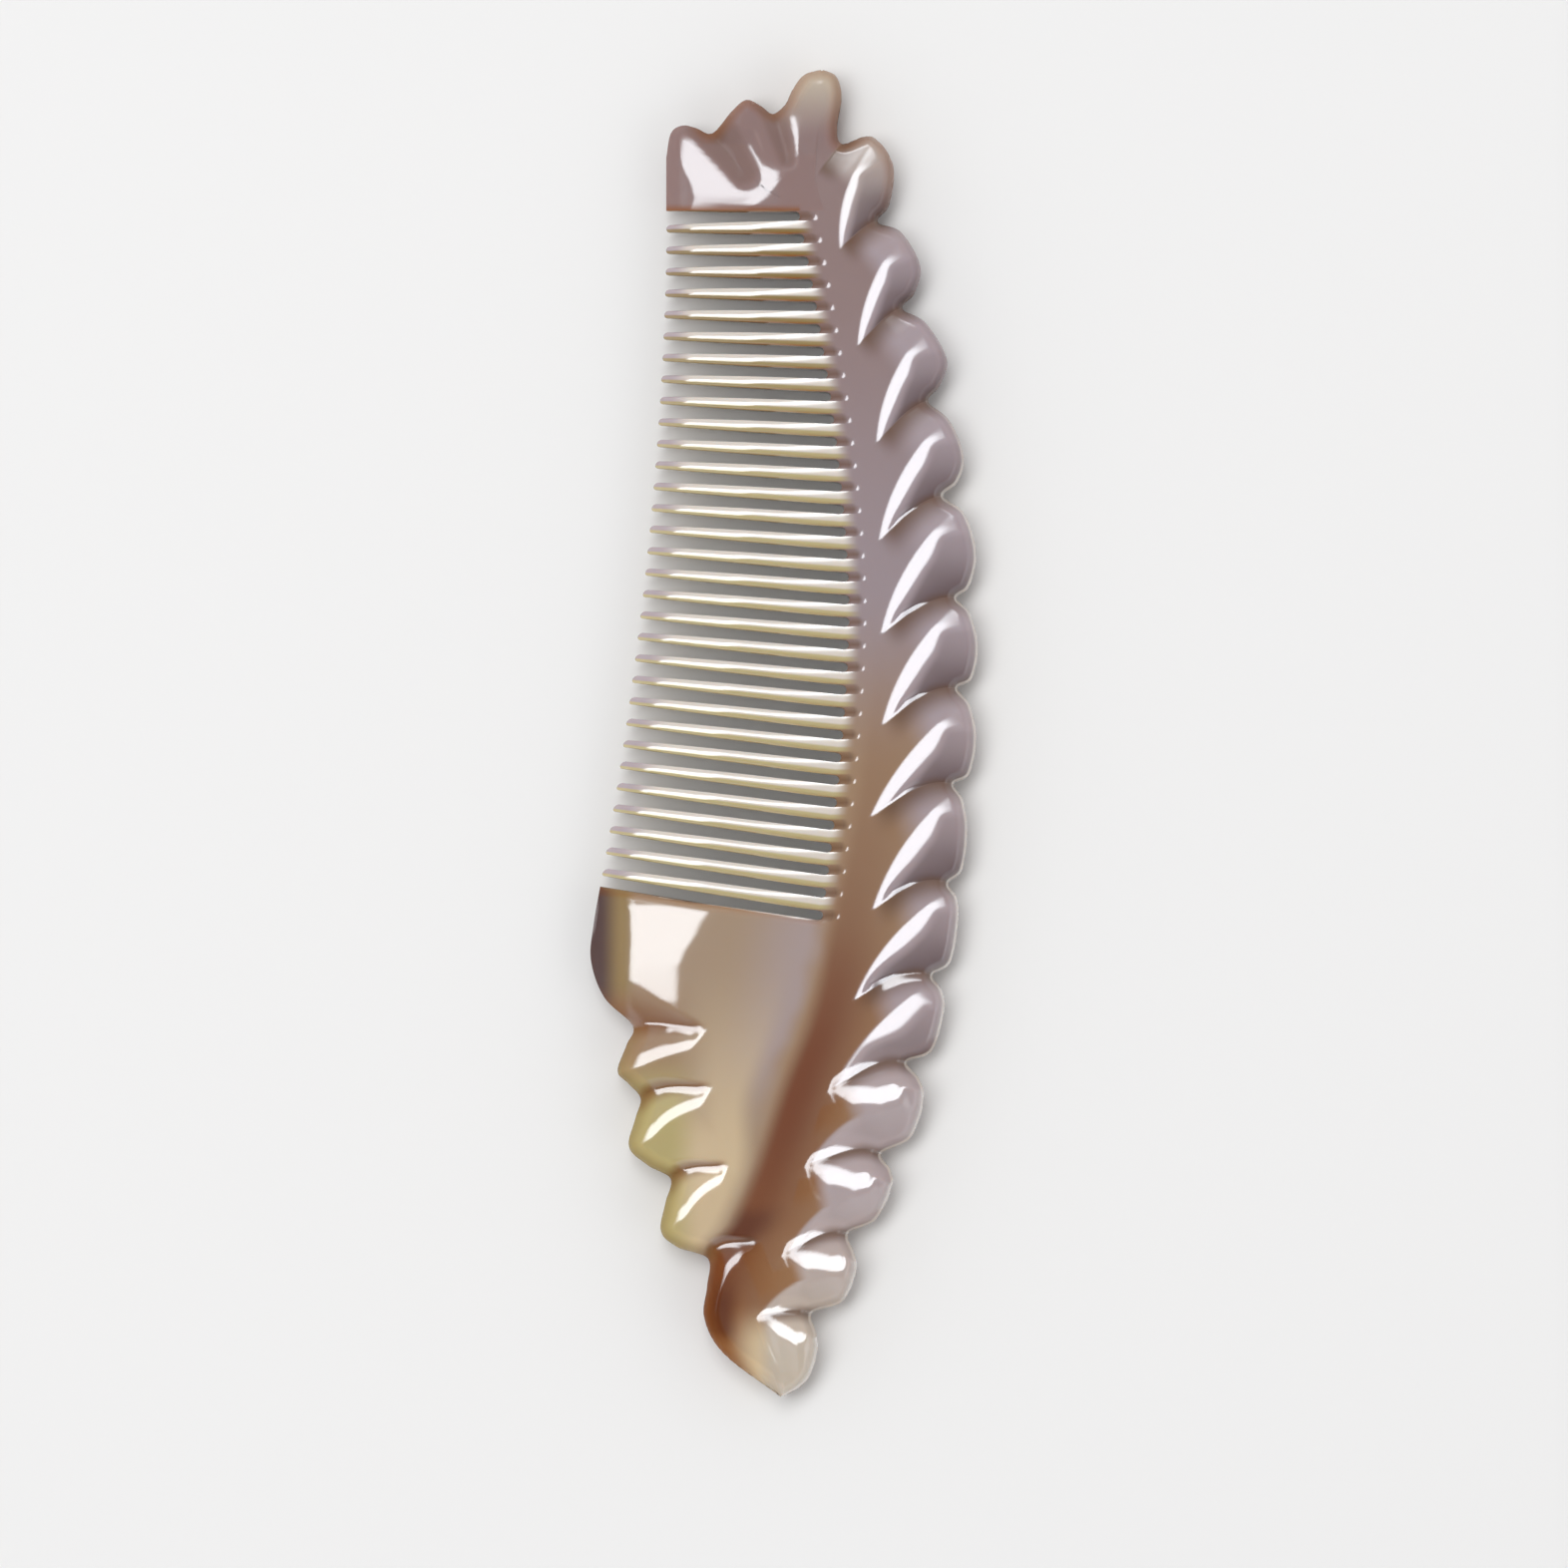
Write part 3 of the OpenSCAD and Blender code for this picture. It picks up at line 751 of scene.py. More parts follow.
    def lobe_masks(self, row, p, share):
        """Masks on the lobed side, from the grooves above and below the point."""
        i = min(int(row.lobe), len(GROOVES))
        lobe = shaded_cell = valley_tone_and_shade = dull = 0.0
        if i >= 1:
            t, d = self.grooves[i - 1].beside(p)
            low = self.lower[i - 1]
            # Valley mask: the thin horn's brown beside the groove, deepened as painted shade
            valley_tone_and_shade = (1 - smooth(max(d, 0.0) / mix(3.0, 1.6, low))) * step(t, 0.05, 0.35)
            # The lobes' paler tone, partly painted sheen on their sloped faces
            lobe = step(t, mix(0.25, 0.1, low), mix(0.65, 0.32, low)) * self.tail_share(row, share)
            if self.deep[i - 1]:
                far = t * self.grooves[i - 1].length - INNER_GAP
                groove = self.groove_at(i - 1, t)
                past_wall = d - groove[-1] - self.wall_width(*groove)
                at_tip = 0.4 if i == len(GROOVES) else 1.3
                dull = max(smooth((d - at_tip) / 0.4) * step(far, 1.7, 0.5) * step(d, 5.0, 3.0),
                           step(d, 0.1, 0.3) * step(past_wall, 0.15, -0.1) * step(far, 1.0, 1.6))
            else:
                dull = 0.6 * step(d, 1.7, 0.5) * step(t, 0.7, 0.9)
        if 1 <= i < len(GROOVES):
            t, d = self.grooves[i].beside(p)
            _, past = self.flank_rise(i, p)
            a, right = self.flanks[i].beside(p)
            above = max(-d, 0.0)
            # The falling face's mask, darkened later as painted shade
            shaded_cell = smooth(past / 1.1) * mix(0.45, 1.0, past / (past + above + 0.01))
            shaded_cell *= 1 - 0.7 * step(a, 0.62, 1.02)
            valley_tone_and_shade = max(valley_tone_and_shade, 0.8 * (1 - smooth(above)) * step(t, 0.45, 0.85))
            lobe = max(lobe, step(right, -0.2, 0.3) if a > 0 else 0.0)
            dull = max(dull, 0.9 * step(a, 0.96, 1.11) * (i < 3))
            if self.deep[i]:
                beyond = above - self.groove_at(i, t)[1]
                far = t * self.grooves[i].length - INNER_GAP
                beside = smooth(beyond / 0.25) * step(beyond, 2.0, 1.2)
                dull = max(dull, beside * step(far, 2.0, 2.8) * step(right, 0.35, 0.55))
        return {"lobe": lobe, "shaded_cell": shaded_cell, "valley_tone_and_shade": valley_tone_and_shade, "dull": dull}

    def guard_masks(self, p):
        """How near a point is to the lower left grooves, and where it is below the last one's tip."""
        near = below_last = 0.0
        for k, groove in enumerate(self.guard_grooves):
            t, right = groove.beside(p)
            if t > 0:
                upper, lower = mix(0.6, GUARD_GROOVES[k][2], clamp(t)), mix(0.8, 2.2, clamp(t))
                near = max(near, (1 - smooth(abs(right) / (upper if right > 0 else lower))) * smooth(t / 0.2))
                below_last = step(-right, 0.45, 0.6) * step(t, 0.46, 0.34) if k == 3 else 0.0
        return near, below_last

    @staticmethod
    def top_dull(row, p, zone, distance, scooped):
        """Where the polish is weak on the top guard: in the scoops, at the edges, past the bright bevel."""
        in_body = zone != "lobe"
        at_edge = (1 - step(distance, 1.3, 1.9)) * (in_body or row.lobe < 1)
        past_leaf = step(p.x, -0.9, -0.4) * step(p.y, 65.6, 65.1) * in_body
        past_bevel = smooth((p.y - from_table(BRIGHT_END, p.x)) / 0.4)
        past_bevel *= step(p.x, -7.5, -6.7) * step(p.x, 0.4, 0.0)
        return max(smooth(scooped / 0.08), at_edge, past_leaf, past_bevel)

    def masks(self, row, p, zone, share):
        """Values of the masks at a plan point, in the order of their names."""
        found = dict.fromkeys(self.MASKS, 0.0) | {"side": 0.5, "along": 1.0}
        below_last = 0.0
        if row.tooth is not None and zone in ("left", "pit"):
            found |= self.tooth_masks(row, zone, share)
        if zone == "lobe":
            found |= self.lobe_masks(row, p, share)
        elif row.tooth is None and row.left > 5:
            found["valley_tone_and_shade"], below_last = self.guard_masks(p)
        _, _, distance = self.tree.find((p.x, p.y, 0))
        wall = self.wall_distance(row, p)
        dull = found["dull"]
        if row.tooth is None:
            if row.left < 4:
                scooped = self.scoops(p)
                found["valley_tone_and_shade"] = max(found["valley_tone_and_shade"], clamp(scooped) * step(distance, 3.0, 0.5),
                                      0.3 * smooth(scooped / 0.3))
                dull = self.top_dull(row, p, zone, distance, scooped)
            elif row.left > 6 and zone != "lobe":
                dull = max(below_last, 1 - step(distance, 1.5, 2.0))
            elif zone == "left":
                dull = 0.85 * smooth((-17.3 - p.x) / 0.8)
            dull = max(dull, 1 - step(wall, 0.7, 0.9))
        if zone == "lobe" and row.lobe < 9:
            dull = max(dull, mix(0.9, 0.4, smooth(row.lobe - 4)) * step(distance, 1.6, 0.7))
        found |= {"rim": 1 - smooth(distance / 1.6), "edge": 1 - smooth(wall / 0.9), "dull": dull}
        return found.values()

    def heights(self, row, p, zone, t):
        """Front and back height of a plan point above and below the middle plane."""
        carved = 0.0
        if zone == "lobe":
            carved += self.lobe(p, row.lobe) * self.tail_share(row, t)
        if row.tooth is None:
            if zone != "lobe" and row.left > 5:
                carved += self.guard(p, row.left)
            if row.left < 4:
                carved += self.leaf(p) - self.scoops(p)
        elif zone == "left":
            carved += self.tooth_top(row, t)
        elif zone == "pit":
            carved += self.tooth_top(row, 1.0) * (1 - smooth(t * PIT_ZONE / 1.2)) - self.pit(row, t)
        rounding = 1.0
        if row.tooth is None or zone == "lobe":
            _, index, distance = self.tree.find((p.x, p.y, 0))
            sawn = arch(clamp(1 - self.wall_distance(row, p) / 0.35))
            rounding = arch(clamp(1 - distance / self.round_widths[index])) * mix(1.0, sawn, 0.18)
        elif zone == "left":
            rounding = arch(clamp(1 - (p.x - tip_x(p.y)) / 0.9))
        level = self.half - self.bevel(p)
        return mix(EDGE, level + carved, rounding), mix(EDGE, level + min(0.0, carved), rounding)


def size(name, description, default, low, high):
    """A length setting of the comb."""
    return FloatProperty(name=name, description=description, default=default, min=low, max=high,
                         unit="LENGTH")


class CombShape(bpy.types.PropertyGroup):
    """Sizes of the comb."""

    length: size("Length", "From the tail's tip to the top lobe", CAD_HIGH.y - CAD_LOW.y, 0.1, 0.2)
    width: size("Width", "From the lower guard to the widest lobe", CAD_HIGH.x - CAD_LOW.x, 0.03, 0.06)
    thickness: size("Thickness", "Thickness of the flat middle", 0.006, 0.004, 0.008)
    tooth_root_width: size("Tooth Root", "Width of a tooth at its root", 0.00147, 0.001, 0.0018)
    tooth_tip_width: size("Tooth Tip", "Width of a tooth at its tip", 0.00085, 0.0006, 0.0012)
    tooth_crown: size("Tooth Crown", "Fall of a tooth's rounded top towards its sides", 0.00026, 0.0, 0.0005)
    groove_depth_upper: size("Upper Grooves", "Depth of the grooves between the upper lobes",
                             0.00012, 0.0, 0.001)
    groove_depth_lower: size("Lower Grooves", "Depth of the grooves between the lowest lobes",
                             0.0011, 0.0001, 0.0015)
    guard_groove_depth: size("Guard Grooves", "Depth of the grooves on the lower left lobes",
                             0.0014, 0.0004, 0.002)
    polish_slope: FloatProperty(
        name="Polished Slope", description="Slope of the polished flanks that catch the light",
        default=0.17, min=0.1, max=0.25)


def tint(red, green, blue):
    """Linear colour of a display colour given from 0 to 255."""
    return tuple((v / 255 / 12.92) if v < 11 else ((v / 255 + 0.055) / 1.055) ** 2.4
                 for v in (red, green, blue))


def horn_color(name, description, *display):
    """A colour setting of the horn."""
    return FloatVectorProperty(name=name, description=description, subtype="COLOR",
                               default=tint(*display), min=0, max=1)


class CombFinish(bpy.types.PropertyGroup):
    """Colours and gloss of the horn."""

    mauve: horn_color("Mauve", "Colour of the upper body", 136, 112, 107)
    rose: horn_color("Rose", "Colour of the body beside the middle teeth", 147, 130, 131)
    tan: horn_color("Tan", "Colour of the lower panel", 156, 132, 108)
    honey: horn_color("Honey", "Colour of the body beside the lowest teeth", 150, 120, 92)
    brown: horn_color("Brown", "Colour of the diagonal streak", 110, 59, 30)
    russet: horn_color("Russet", "Colour of the darkest patches by the tail", 84, 36, 16)
    straw: horn_color("Straw", "Colour of the lower left lobes", 173, 156, 106)
    sand: horn_color("Sand", "Colour of the panel towards the tail", 197, 173, 138)
    cream: horn_color("Cream", "Colour of the palest horn", 184, 168, 148)
    # Lilac is the lobes' tone, laid on them partly as painted sheen
    lilac: horn_color("Lilac", "Colour of the lobes", 161, 145, 147)
    # Dusk is painted shade: on the faces that fall to a groove and on the lower guard's steep bevel
    shade_dusk: horn_color("Dusk", "Colour of the faces that fall to a groove", 80, 60, 59)
    # Bark is partly the thin horn's own brown and partly painted shade, in the valleys and the pits
    hollow_brown_and_shade: horn_color("Bark", "Colour of the valleys beside the grooves", 100, 72, 54)
    # Tooth: the teeth's cream, kept on their lit upper half, and laid as a painted highlight line on the
    # lobes' rims
    tooth: horn_color("Tooth", "Colour of the teeth", 205, 193, 180)
    # Olive: painted shade on the teeth's lower half and on the lower guard's steep bevel, and the lower left
    # lobes' rims
    olive_and_shade: horn_color("Olive", "Colour of the lower half of the teeth", 132, 108, 62)
    # Butter: painted shade on the lower half of the lower teeth
    butter_shade: horn_color("Butter", "Colour of the lower half of the lower teeth", 178, 162, 116)
    amber: horn_color("Amber", "Colour of thin sawn edges", 132, 76, 24)
    roughness: FloatProperty(
        name="Roughness", description="Roughness under the polish", default=0.25, min=0, max=1)
    polish: FloatProperty(
        name="Polish", description="Strength of the polished coat", default=1.0, min=0, max=1)


class StudioSetup(bpy.types.PropertyGroup):
    """The floor and the light."""

    floor_color: FloatVectorProperty(
        name="Floor", description="Colour of the floor", subtype="COLOR",
        default=(0.75, 0.72, 0.685), min=0, max=1)
    key_tilt: FloatProperty(
        name="Key Tilt", description="How far the key softbox leans from overhead",
        default=radians(18.5), min=0, max=radians(80), subtype="ANGLE")
    key_turn: FloatProperty(
        name="Key Turn", description="Where the key softbox stands around the comb",
        default=radians(140), min=0, max=radians(360), subtype="ANGLE")
    key_radiance: FloatProperty(
        name="Key Radiance", description="Brightness of the key softbox's face", default=7.7, min=0)
    fill_radiance: FloatProperty(
        name="Fill Radiance", description="Brightness of the fill softbox's face", default=0.8, min=0)


def deselect_all():
    """Nothing is selected and no object is active."""
    for obj in bpy.context.selected_objects:
        obj.select_set(False)
    bpy.context.view_layer.objects.active = None


def comb_mesh(plan, relief, shape):
    """Adds a flat grid, cuts the gaps, gives it walls and moves its vertices into the comb's shape."""
    rows = len(plan.rows) - 1
    bpy.ops.mesh.primitive_grid_add(x_subdivisions=COLUMNS, y_subdivisions=rows, size=1)
    comb = bpy.context.active_object
    comb.name = comb.data.name = "horn_comb"
    mesh = comb.data
    bpy.ops.object.mode_set(mode="EDIT")
    bpy.ops.mesh.select_mode(type="FACE")
    bpy.ops.mesh.select_all(action="DESELECT")
    bpy.ops.object.mode_set(mode="OBJECT")
    for polygon in mesh.polygons:
        row = floor((0.5 - polygon.center.y) * rows)
        column = floor((polygon.center.x + 0.5) * COLUMNS)
        above, below = plan.rows[row], plan.rows[row + 1]
        polygon.select = (above.tooth is False and column < LEFT_COLUMNS
                          and above.across != -1.0 and below.tooth is not None)
    bpy.ops.object.mode_set(mode="EDIT")
    bpy.ops.mesh.delete(type="FACE")
    bpy.ops.object.mode_set(mode="OBJECT")
    solid = comb.modifiers.new("Walls", "SOLIDIFY")
    solid.thickness = 0.1
    solid.offset = 0
    bpy.ops.object.modifier_apply(modifier=solid.name)

    scale_x = shape.width / MM / TABLE_WIDTH
    scale_y = shape.length / MM / TABLE_LENGTH
    masks = []
    for v in mesh.vertices:
        row = plan.rows[round((0.5 - v.co.y) * rows)]
        p, zone, t = plan.point(row, round((v.co.x + 0.5) * COLUMNS))
        front, back = relief.heights(row, p, zone, t)
        on_front = v.co.z > 0
        height = relief.half + (front if on_front else -back)
        v.co = Vector((p.x * scale_x, p.y * scale_y, height)) * MM
        # The back keeps its full polish
        *colors, dull = relief.masks(row, p, zone, t)
        masks.append((*colors, dull if on_front else 0.0))
    for name, values in zip(Relief.MASKS, zip(*masks)):
        mesh.attributes.new(name, "FLOAT", "POINT").data.foreach_set("value", values)
    bpy.ops.object.mode_set(mode="EDIT")
    bpy.ops.mesh.select_all(action="SELECT")
    bpy.ops.mesh.normals_make_consistent(inside=False)
    bpy.ops.object.mode_set(mode="OBJECT")
    bpy.ops.object.shade_smooth_by_angle(angle=SMOOTH_ANGLE)
    return comb


class Graph:
    """Short ways to add nodes to a node tree."""

    def __init__(self, tree):
        self.nodes, self.links = tree.nodes, tree.links

    def put(self, socket, value):
        """Sets a socket to a value, or links it."""
        if isinstance(value, bpy.types.NodeSocket):
            self.links.new(value, socket)
        elif value is not None:
            socket.default_value = value

    def add(self, kind, inputs, **settings):
        """A node of a kind, with its settings, and its inputs set or linked."""
        node = self.nodes.new("ShaderNode" + kind)
        for name, value in settings.items():
            setattr(node, name, value)
        for name, value in inputs.items():
            self.put(node.inputs[name], value)
        return node

    def math(self, operation, a, b=None):
        """A math node."""
        return self.add("Math", {0: a, 1: b}, operation=operation).outputs[0]

    def step(self, value, low, high, first=0.0, last=1.0, kind="SMOOTHSTEP"):
        """A soft step from first where the value is low to last where it is high."""
        inputs = {"Value": value, "From Min": low, "From Max": high, "To Min": first, "To Max": last}
        return self.add("MapRange", inputs, interpolation_type=kind).outputs["Result"]

    def curve(self, value, rows):
        """The second value of a table of rising first values."""
        low, high = rows[0][0], rows[-1][0]
        values = [second for _, second in rows]
        least, most = min(values), max(values)
        node = self.add("FloatCurve", {"Value": self.step(value, low, high, kind="LINEAR")})
        points_on = node.mapping.curves[0].points
        for k, (first, second) in enumerate(rows):
            place = ((first - low) / (high - low), (second - least) / (most - least))
            if k in (0, len(rows) - 1):
                points_on[0 if k == 0 else len(points_on) - 1].location = place
            else:
                points_on.new(*place)
        for point in points_on:
            point.handle_type = "AUTO_CLAMPED"
        node.mapping.update()
        return self.step(node.outputs["Value"], 0.0, 1.0, least, most, "LINEAR")

    def blend(self, share, a, b):
        """A colour between a and b."""
        node = self.add("Mix", {"Factor": share}, data_type="RGBA")
        for name, value in (("A", a), ("B", b)):
            socket = next(i for i in node.inputs if i.name == name and i.type == "RGBA")
            self.put(socket, value if isinstance(value, bpy.types.NodeSocket) else (*value, 1))
        return next(o for o in node.outputs if o.type == "RGBA")

    def share(self, strength, *parts):
        """A strength times all the parts: each is a value, or a soft step of (value, low, high)."""
        for part in parts:
            value = self.step(*part) if isinstance(part, tuple) else part
            strength = self.math("MULTIPLY", strength, value)
        return strength


# Left edge of the diagonal brown streak, and how strong it is, at heights on the comb from the tail up
STREAK_LEFT = (
    (-76.0, -6.0), (-68.0, -9.5), (-60.0, -9.0), (-55.0, -6.0), (-50.0, -3.8), (-40.0, -0.4),
    (-30.0, 3.2), (-20.0, 5.2), (-10.0, 7.4), (0.0, 8.8), (12.0, 10.0),
)
STREAK_STRENGTH = (
    (-76.0, 0.0), (-70.0, 0.1), (-65.0, 0.75), (-58.0, 1.0), (-52.0, 0.95), (-42.0, 1.0), (-30.0, 0.85),
    (-20.0, 0.5), (-10.0, 0.3), (0.0, 0.15), (12.0, 0.0),
)


def horn_material(finish):
    """Polished horn, coloured by place on the comb and by the masks stored on the mesh."""
    material = bpy.data.materials.new("polished_horn")
    material.use_nodes = True
    g = Graph(material.node_tree)
    place = g.add("TexCoord", {}).outputs["Object"]
    in_mm = g.add("VectorMath", {0: place, "Scale": 1 / MM}, operation="SCALE").outputs[0]
    split = g.add("SeparateXYZ", {0: in_mm}).outputs
    x, y = split["X"], split["Y"]
    masks = {name: g.add("Attribute", {}, attribute_name=name).outputs["Fac"] for name in Relief.MASKS}
    rim, along, across = masks["rim"], masks["along"], masks["side"]
    noise = g.add("TexNoise", {"Vector": in_mm, "Scale": 0.09, "Detail": 2.0}).outputs["Fac"]
    waver = g.math("MULTIPLY", g.math("SUBTRACT", noise, 0.5), 5.0)
    past_left = g.math("SUBTRACT", x, g.curve(y, STREAK_LEFT))

    lilac_share = g.share(0.6, (past_left, -11.0, -2.0), (y, -46.0, -34.0))
    panel = g.blend(lilac_share, finish.tan, finish.lilac)
    past_waver = g.math("ADD", past_left, waver)
    from_streak = g.math("ADD", past_left, g.share(2.5, (y, -50.0, -40.0)))
    off_straw = g.math("MAXIMUM", g.step(x, -13.0, -7.0), g.step(y, -38.0, -46.0))
    # Where the lower guard's steep bevel towards its edge is painted in shade
    guard_edge_shade = ((x, -16.4, -18.0), (y, -14.0, -16.5))
    darkest = g.share(1.0, (y, -52.5, -55.0), (y, -59.5, -56.5), (past_left, 7.0, 3.0))
    streak = g.blend(darkest, finish.brown, finish.russet)
    tail = g.blend(g.step(x, -1.0, -3.5), finish.cream, finish.sand)
    # The lobes' pale tone: partly the horn's own colour, partly painted sheen
    pale = g.blend(g.step(y, 52.0, 76.0), finish.lilac, finish.cream)
    pale = g.blend(g.step(y, -50.0, -74.0), pale, finish.cream)
    pale = g.blend(g.share(0.16, (y, -28.0, -42.0)), pale, finish.tooth)
    # Brown for the valleys: the thin horn's tone and painted shade in the hollows
    valley_tone_and_shade = g.blend(g.share(0.6, (x, -3.0, -7.0), (y, -20.0, -26.0)), finish.hollow_brown_and_shade, finish.amber)
    end_rims = g.math("ADD", g.share(1.0, (y, 56.0, 64.0), (x, -11.5, -9.0)),
                      g.share(1.0, (y, -60.0, -65.0), (x, -2.0, -5.0)))
    # Painted light across each tooth: cream on the lit upper half, greyer at the tips where the light fades,
    # olive or butter on the shaded lower half, with the thin horn's amber along its lower edge
    tooth = g.blend(g.step(along, 0.05, 0.2), finish.lilac, finish.tooth)
    shaded_lower_half = g.blend(g.step(y, 54.0, 26.0), finish.olive_and_shade, finish.butter_shade)
    tooth = g.blend(g.step(across, 0.45, 0.66), tooth, shaded_lower_half)
    low_edge = g.share(g.step(y, 26.0, 54.0, 0.35, 1.0), (across, 0.72, 1.0), (along, 0.1, 0.9))
    tooth = g.blend(low_edge, tooth, finish.amber)

    color = finish.mauve
    # Colours laid over one another: the colour, its strength, and the bounds that it keeps to
    for target, strength, *bounds in (
        # The body, the panel and the left side
        (finish.rose, 1.0, (y, 55.0, 15.0)),
        (finish.honey, 1.0, (y, 17.0, -6.0)),
        (panel, 1.0, (past_waver, 1.2, -2.0), (y, -12.0, -19.0)),
        # Honey on the slope that falls to the first lower left groove: partly the horn's tone, partly painted
        # shade
        (finish.honey, 1.0, (x, -9.0, -14.0), (y, -26.0, -32.0)),
        (finish.sand, 0.95, (from_streak, 0.5, -2.5), (y, -23.0, -50.0), off_straw),
        (finish.straw, 1.0, (x, -9.0, -13.0), (y, -35.0, -42.0)),
        # Painted shade: olive and dusk bands on the lower guard's steep bevel
        (finish.olive_and_shade, 0.7, *guard_edge_shade, (y, -32.0, -28.0)),
        (finish.shade_dusk, 0.95, *guard_edge_shade, (x, -18.2, -20.8)),
        # The streak, the tail and the top
        (streak, g.curve(y, STREAK_STRENGTH), (past_left, -0.8, 1.6), (past_left, 11.0, 2.0)),
        (finish.amber, 0.26, (past_left, 3.5, 8.0), (y, -18.0, -34.0)),
        (finish.amber, 0.15, (past_left, -0.5, 2.0), (y, -43.0, -54.0)),
        (finish.amber, 0.6, (y, -62.0, -67.0), (x, -3.0, -5.5)),
        (finish.russet, 0.75, (y, -60.0, -64.5), (y, -69.5, -67.0), (x, -4.5, -6.8)),
        (tail, 1.0, (y, -64.0, -69.0), (x, -6.8, -2.6)),
        (finish.cream, 1.0, (y, 67.0, 75.0), (x, -3.5, 1.0)),
        # The lobes, painted paler partly as sheen, the grooves, painted darker as shade, and the rims, with a
        # painted highlight line
        # The lobes, painted paler partly as sheen
        (pale, 0.9, masks["lobe"]),
        # Painted shade: the faces that fall to a groove are darkened with dusk
        (finish.shade_dusk, 0.9, masks["shaded_cell"], (y, -50.0, -25.0)),
        # The valleys beside the grooves and in the scoops: brown, partly painted shade
        (valley_tone_and_shade, 0.85, masks["valley_tone_and_shade"]),
        # Painted highlight: a pale line along the outer edge of the lobes below the top
        (finish.tooth, 0.75, masks["lobe"], (rim, 0.84, 0.97), (y, 42.0, 26.0)),
        (finish.amber, 0.45, rim, end_rims),
        (finish.olive_and_shade, 0.5, rim, (y, -32.0, -36.0), (y, -60.0, -57.0), (x, -5.0, -9.0)),
        # The teeth with their painted lit and shaded halves, the sawn edges, and the pits with painted shade
        (tooth, 1.0, masks["tooth"]),
        (finish.amber, g.math("ADD", 0.3, g.share(0.5, (y, 0.0, 40.0))), masks["edge"]),
        # The pits at the saw cuts' roots: brown, partly the thin horn and partly painted shade
        (finish.hollow_brown_and_shade, 0.75, masks["pit"]),
    ):
        color = g.blend(g.share(strength, *bounds), color, target)

    polished = g.math("SUBTRACT", 1.0, g.math("MULTIPLY", masks["dull"], 0.95))
    shader = g.nodes["Principled BSDF"]
    for name, value in (
        ("Base Color", color), ("Roughness", finish.roughness), ("IOR", 1.55),
        ("Subsurface Weight", 0.3), ("Subsurface Radius", (1.0, 0.6, 0.4)), ("Subsurface Scale", 1.5 * MM),
        ("Specular IOR Level", g.math("MULTIPLY", polished, 0.2)),
        ("Coat Weight", g.math("MULTIPLY", polished, finish.polish)),
        ("Coat Roughness", 0.04), ("Coat IOR", 1.75),
    ):
        g.put(shader.inputs[name], value)
    return material


class COMB_OT_add_comb(bpy.types.Operator):
    """Model the carved comb in place of the plain solid"""

    bl_idname = "comb.add_comb"
    bl_label = "Add Comb"

    def execute(self, context):
        deselect_all()
        shape = context.scene.comb_shape
        plan = Plan(shape)
        comb = comb_mesh(plan, Relief(plan, shape), shape)
        comb.data.materials.append(horn_material(context.scene.comb_finish))
        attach(comb, "root")
        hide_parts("comb")
        return {"FINISHED"}


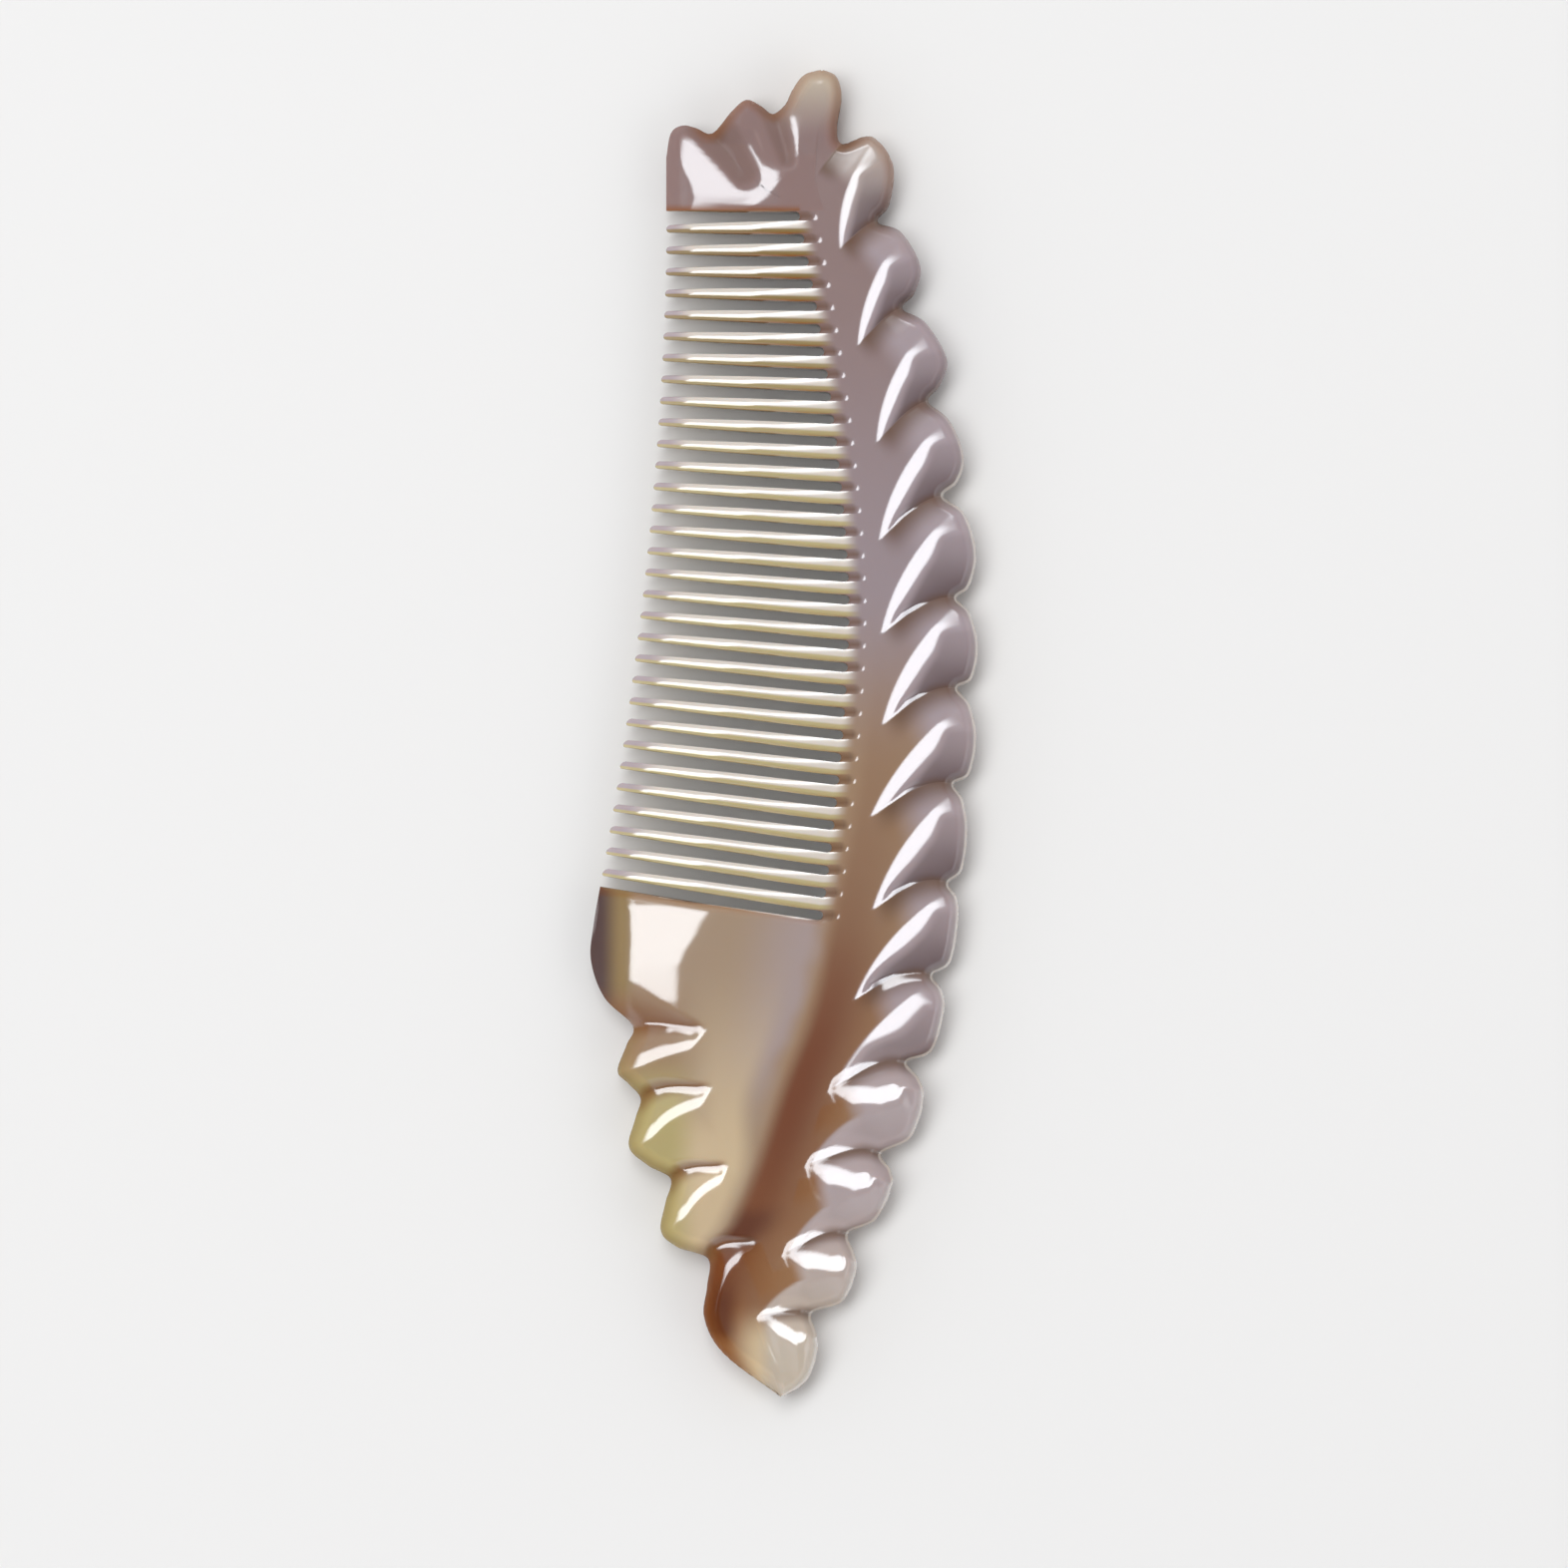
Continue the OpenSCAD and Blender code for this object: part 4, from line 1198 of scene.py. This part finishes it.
class COMB_OT_add_stage(bpy.types.Operator):
    """Add the pale floor, the soft lights and the camera"""

    bl_idname = "comb.add_stage"
    bl_label = "Add Stage"

    def execute(self, context):
        studio = context.scene.comb_studio
        deselect_all()
        bpy.ops.mesh.primitive_plane_add(size=FLOOR_SIZE)
        floor_plane = context.active_object
        floor_plane.name = "floor"
        paper = bpy.data.materials.new("pale_paper")
        paper.use_nodes = True
        shader = paper.node_tree.nodes["Principled BSDF"]
        shader.inputs["Base Color"].default_value = (*studio.floor_color, 1)
        shader.inputs["Roughness"].default_value = 0.9
        shader.inputs["Specular IOR Level"].default_value = 0.1
        floor_plane.data.materials.append(paper)

        self.softbox("key", studio.key_tilt, studio.key_turn, KEY_SIZE, studio.key_radiance)
        self.softbox("fill", FILL_TILT, FILL_TURN, FILL_SIZE, studio.fill_radiance)
        world = bpy.data.worlds.new("studio")
        context.scene.world = world
        world.use_nodes = True
        g = Graph(world.node_tree)
        background = g.nodes["Background"]
        background.inputs["Color"].default_value = SKY_COLOR
        up = g.add("SeparateXYZ", {0: g.add("TexCoord", {}).outputs["Generated"]}).outputs["Z"]
        g.put(background.inputs["Strength"], g.step(up, *SKY_FADE))

        data = bpy.data.cameras.new("camera")
        camera = bpy.data.objects.new("camera", data)
        context.scene.collection.objects.link(camera)
        data.lens = LENS
        distance = data.lens / data.sensor_width * PHOTO_PIXELS / PIXELS_PER_MM * MM
        camera.location = (0, PHOTO_MIDDLE_Y * MM, COMB_MIDDLE + distance)
        data.clip_end = 20
        context.scene.camera = camera
        context.scene.view_settings.view_transform = "Standard"
        return {"FINISHED"}

    @staticmethod
    def softbox(name, tilt, turn, size_xy, radiance):
        """An area light that faces the comb: leaning by tilt from overhead, standing at turn."""
        data = bpy.data.lights.new(name, "AREA")
        data.shape = "RECTANGLE"
        data.size, data.size_y = size_xy
        data.energy = radiance * pi * data.size * data.size_y
        data.color = SOFTBOX_COLOR
        data.use_nodes = True
        g = Graph(data.node_tree)
        place = g.add("SeparateXYZ", {0: g.add("NewGeometry", {}).outputs["Parametric"]}).outputs
        fades = [g.step(g.math("ABSOLUTE", g.math("SUBTRACT", place[axis], 0.5)), *SOFTBOX_FADE)
                 for axis in (0, 1)]
        g.put(g.nodes["Emission"].inputs["Strength"], g.math("MULTIPLY", *fades))
        light = bpy.data.objects.new(name, data)
        bpy.context.scene.collection.objects.link(light)
        direction = Vector((sin(tilt) * cos(turn), sin(tilt) * sin(turn), cos(tilt)))
        light.location = direction * SOFTBOX_DISTANCE
        light.rotation_euler = (0, tilt, turn)


class COMB_PT_panel(bpy.types.Panel):
    """Sizes, colours and steps of the comb"""

    bl_label = "Horn Pocket Comb"
    bl_idname = "COMB_PT_panel"
    bl_space_type = "VIEW_3D"
    bl_region_type = "UI"
    bl_category = "Comb"

    def draw(self, context):
        layout = self.layout
        for group, operator in (("comb_shape", "comb.add_comb"), ("comb_finish", None),
                                ("comb_studio", "comb.add_stage")):
            settings = getattr(context.scene, group)
            box = layout.box()
            for name in settings.__annotations__:
                box.prop(settings, name)
            if operator:
                box.operator(operator)


CLASSES = (CombShape, CombFinish, StudioSetup, COMB_OT_add_comb, COMB_OT_add_stage, COMB_PT_panel)
GROUPS = {"comb_shape": CombShape, "comb_finish": CombFinish, "comb_studio": StudioSetup}


def register():
    """Registers the classes and gives the scene its settings."""
    for cls in CLASSES:
        bpy.utils.register_class(cls)
    for name, group in GROUPS.items():
        setattr(bpy.types.Scene, name, PointerProperty(type=group))


def unregister():
    """Takes the settings and the classes away again."""
    for name in GROUPS:
        delattr(bpy.types.Scene, name)
    for cls in reversed(CLASSES):
        bpy.utils.unregister_class(cls)


def main():
    """Builds the comb and its stage."""
    register()
    bpy.ops.comb.add_comb()
    bpy.ops.comb.add_stage()


if __name__ == "__main__":
    main()
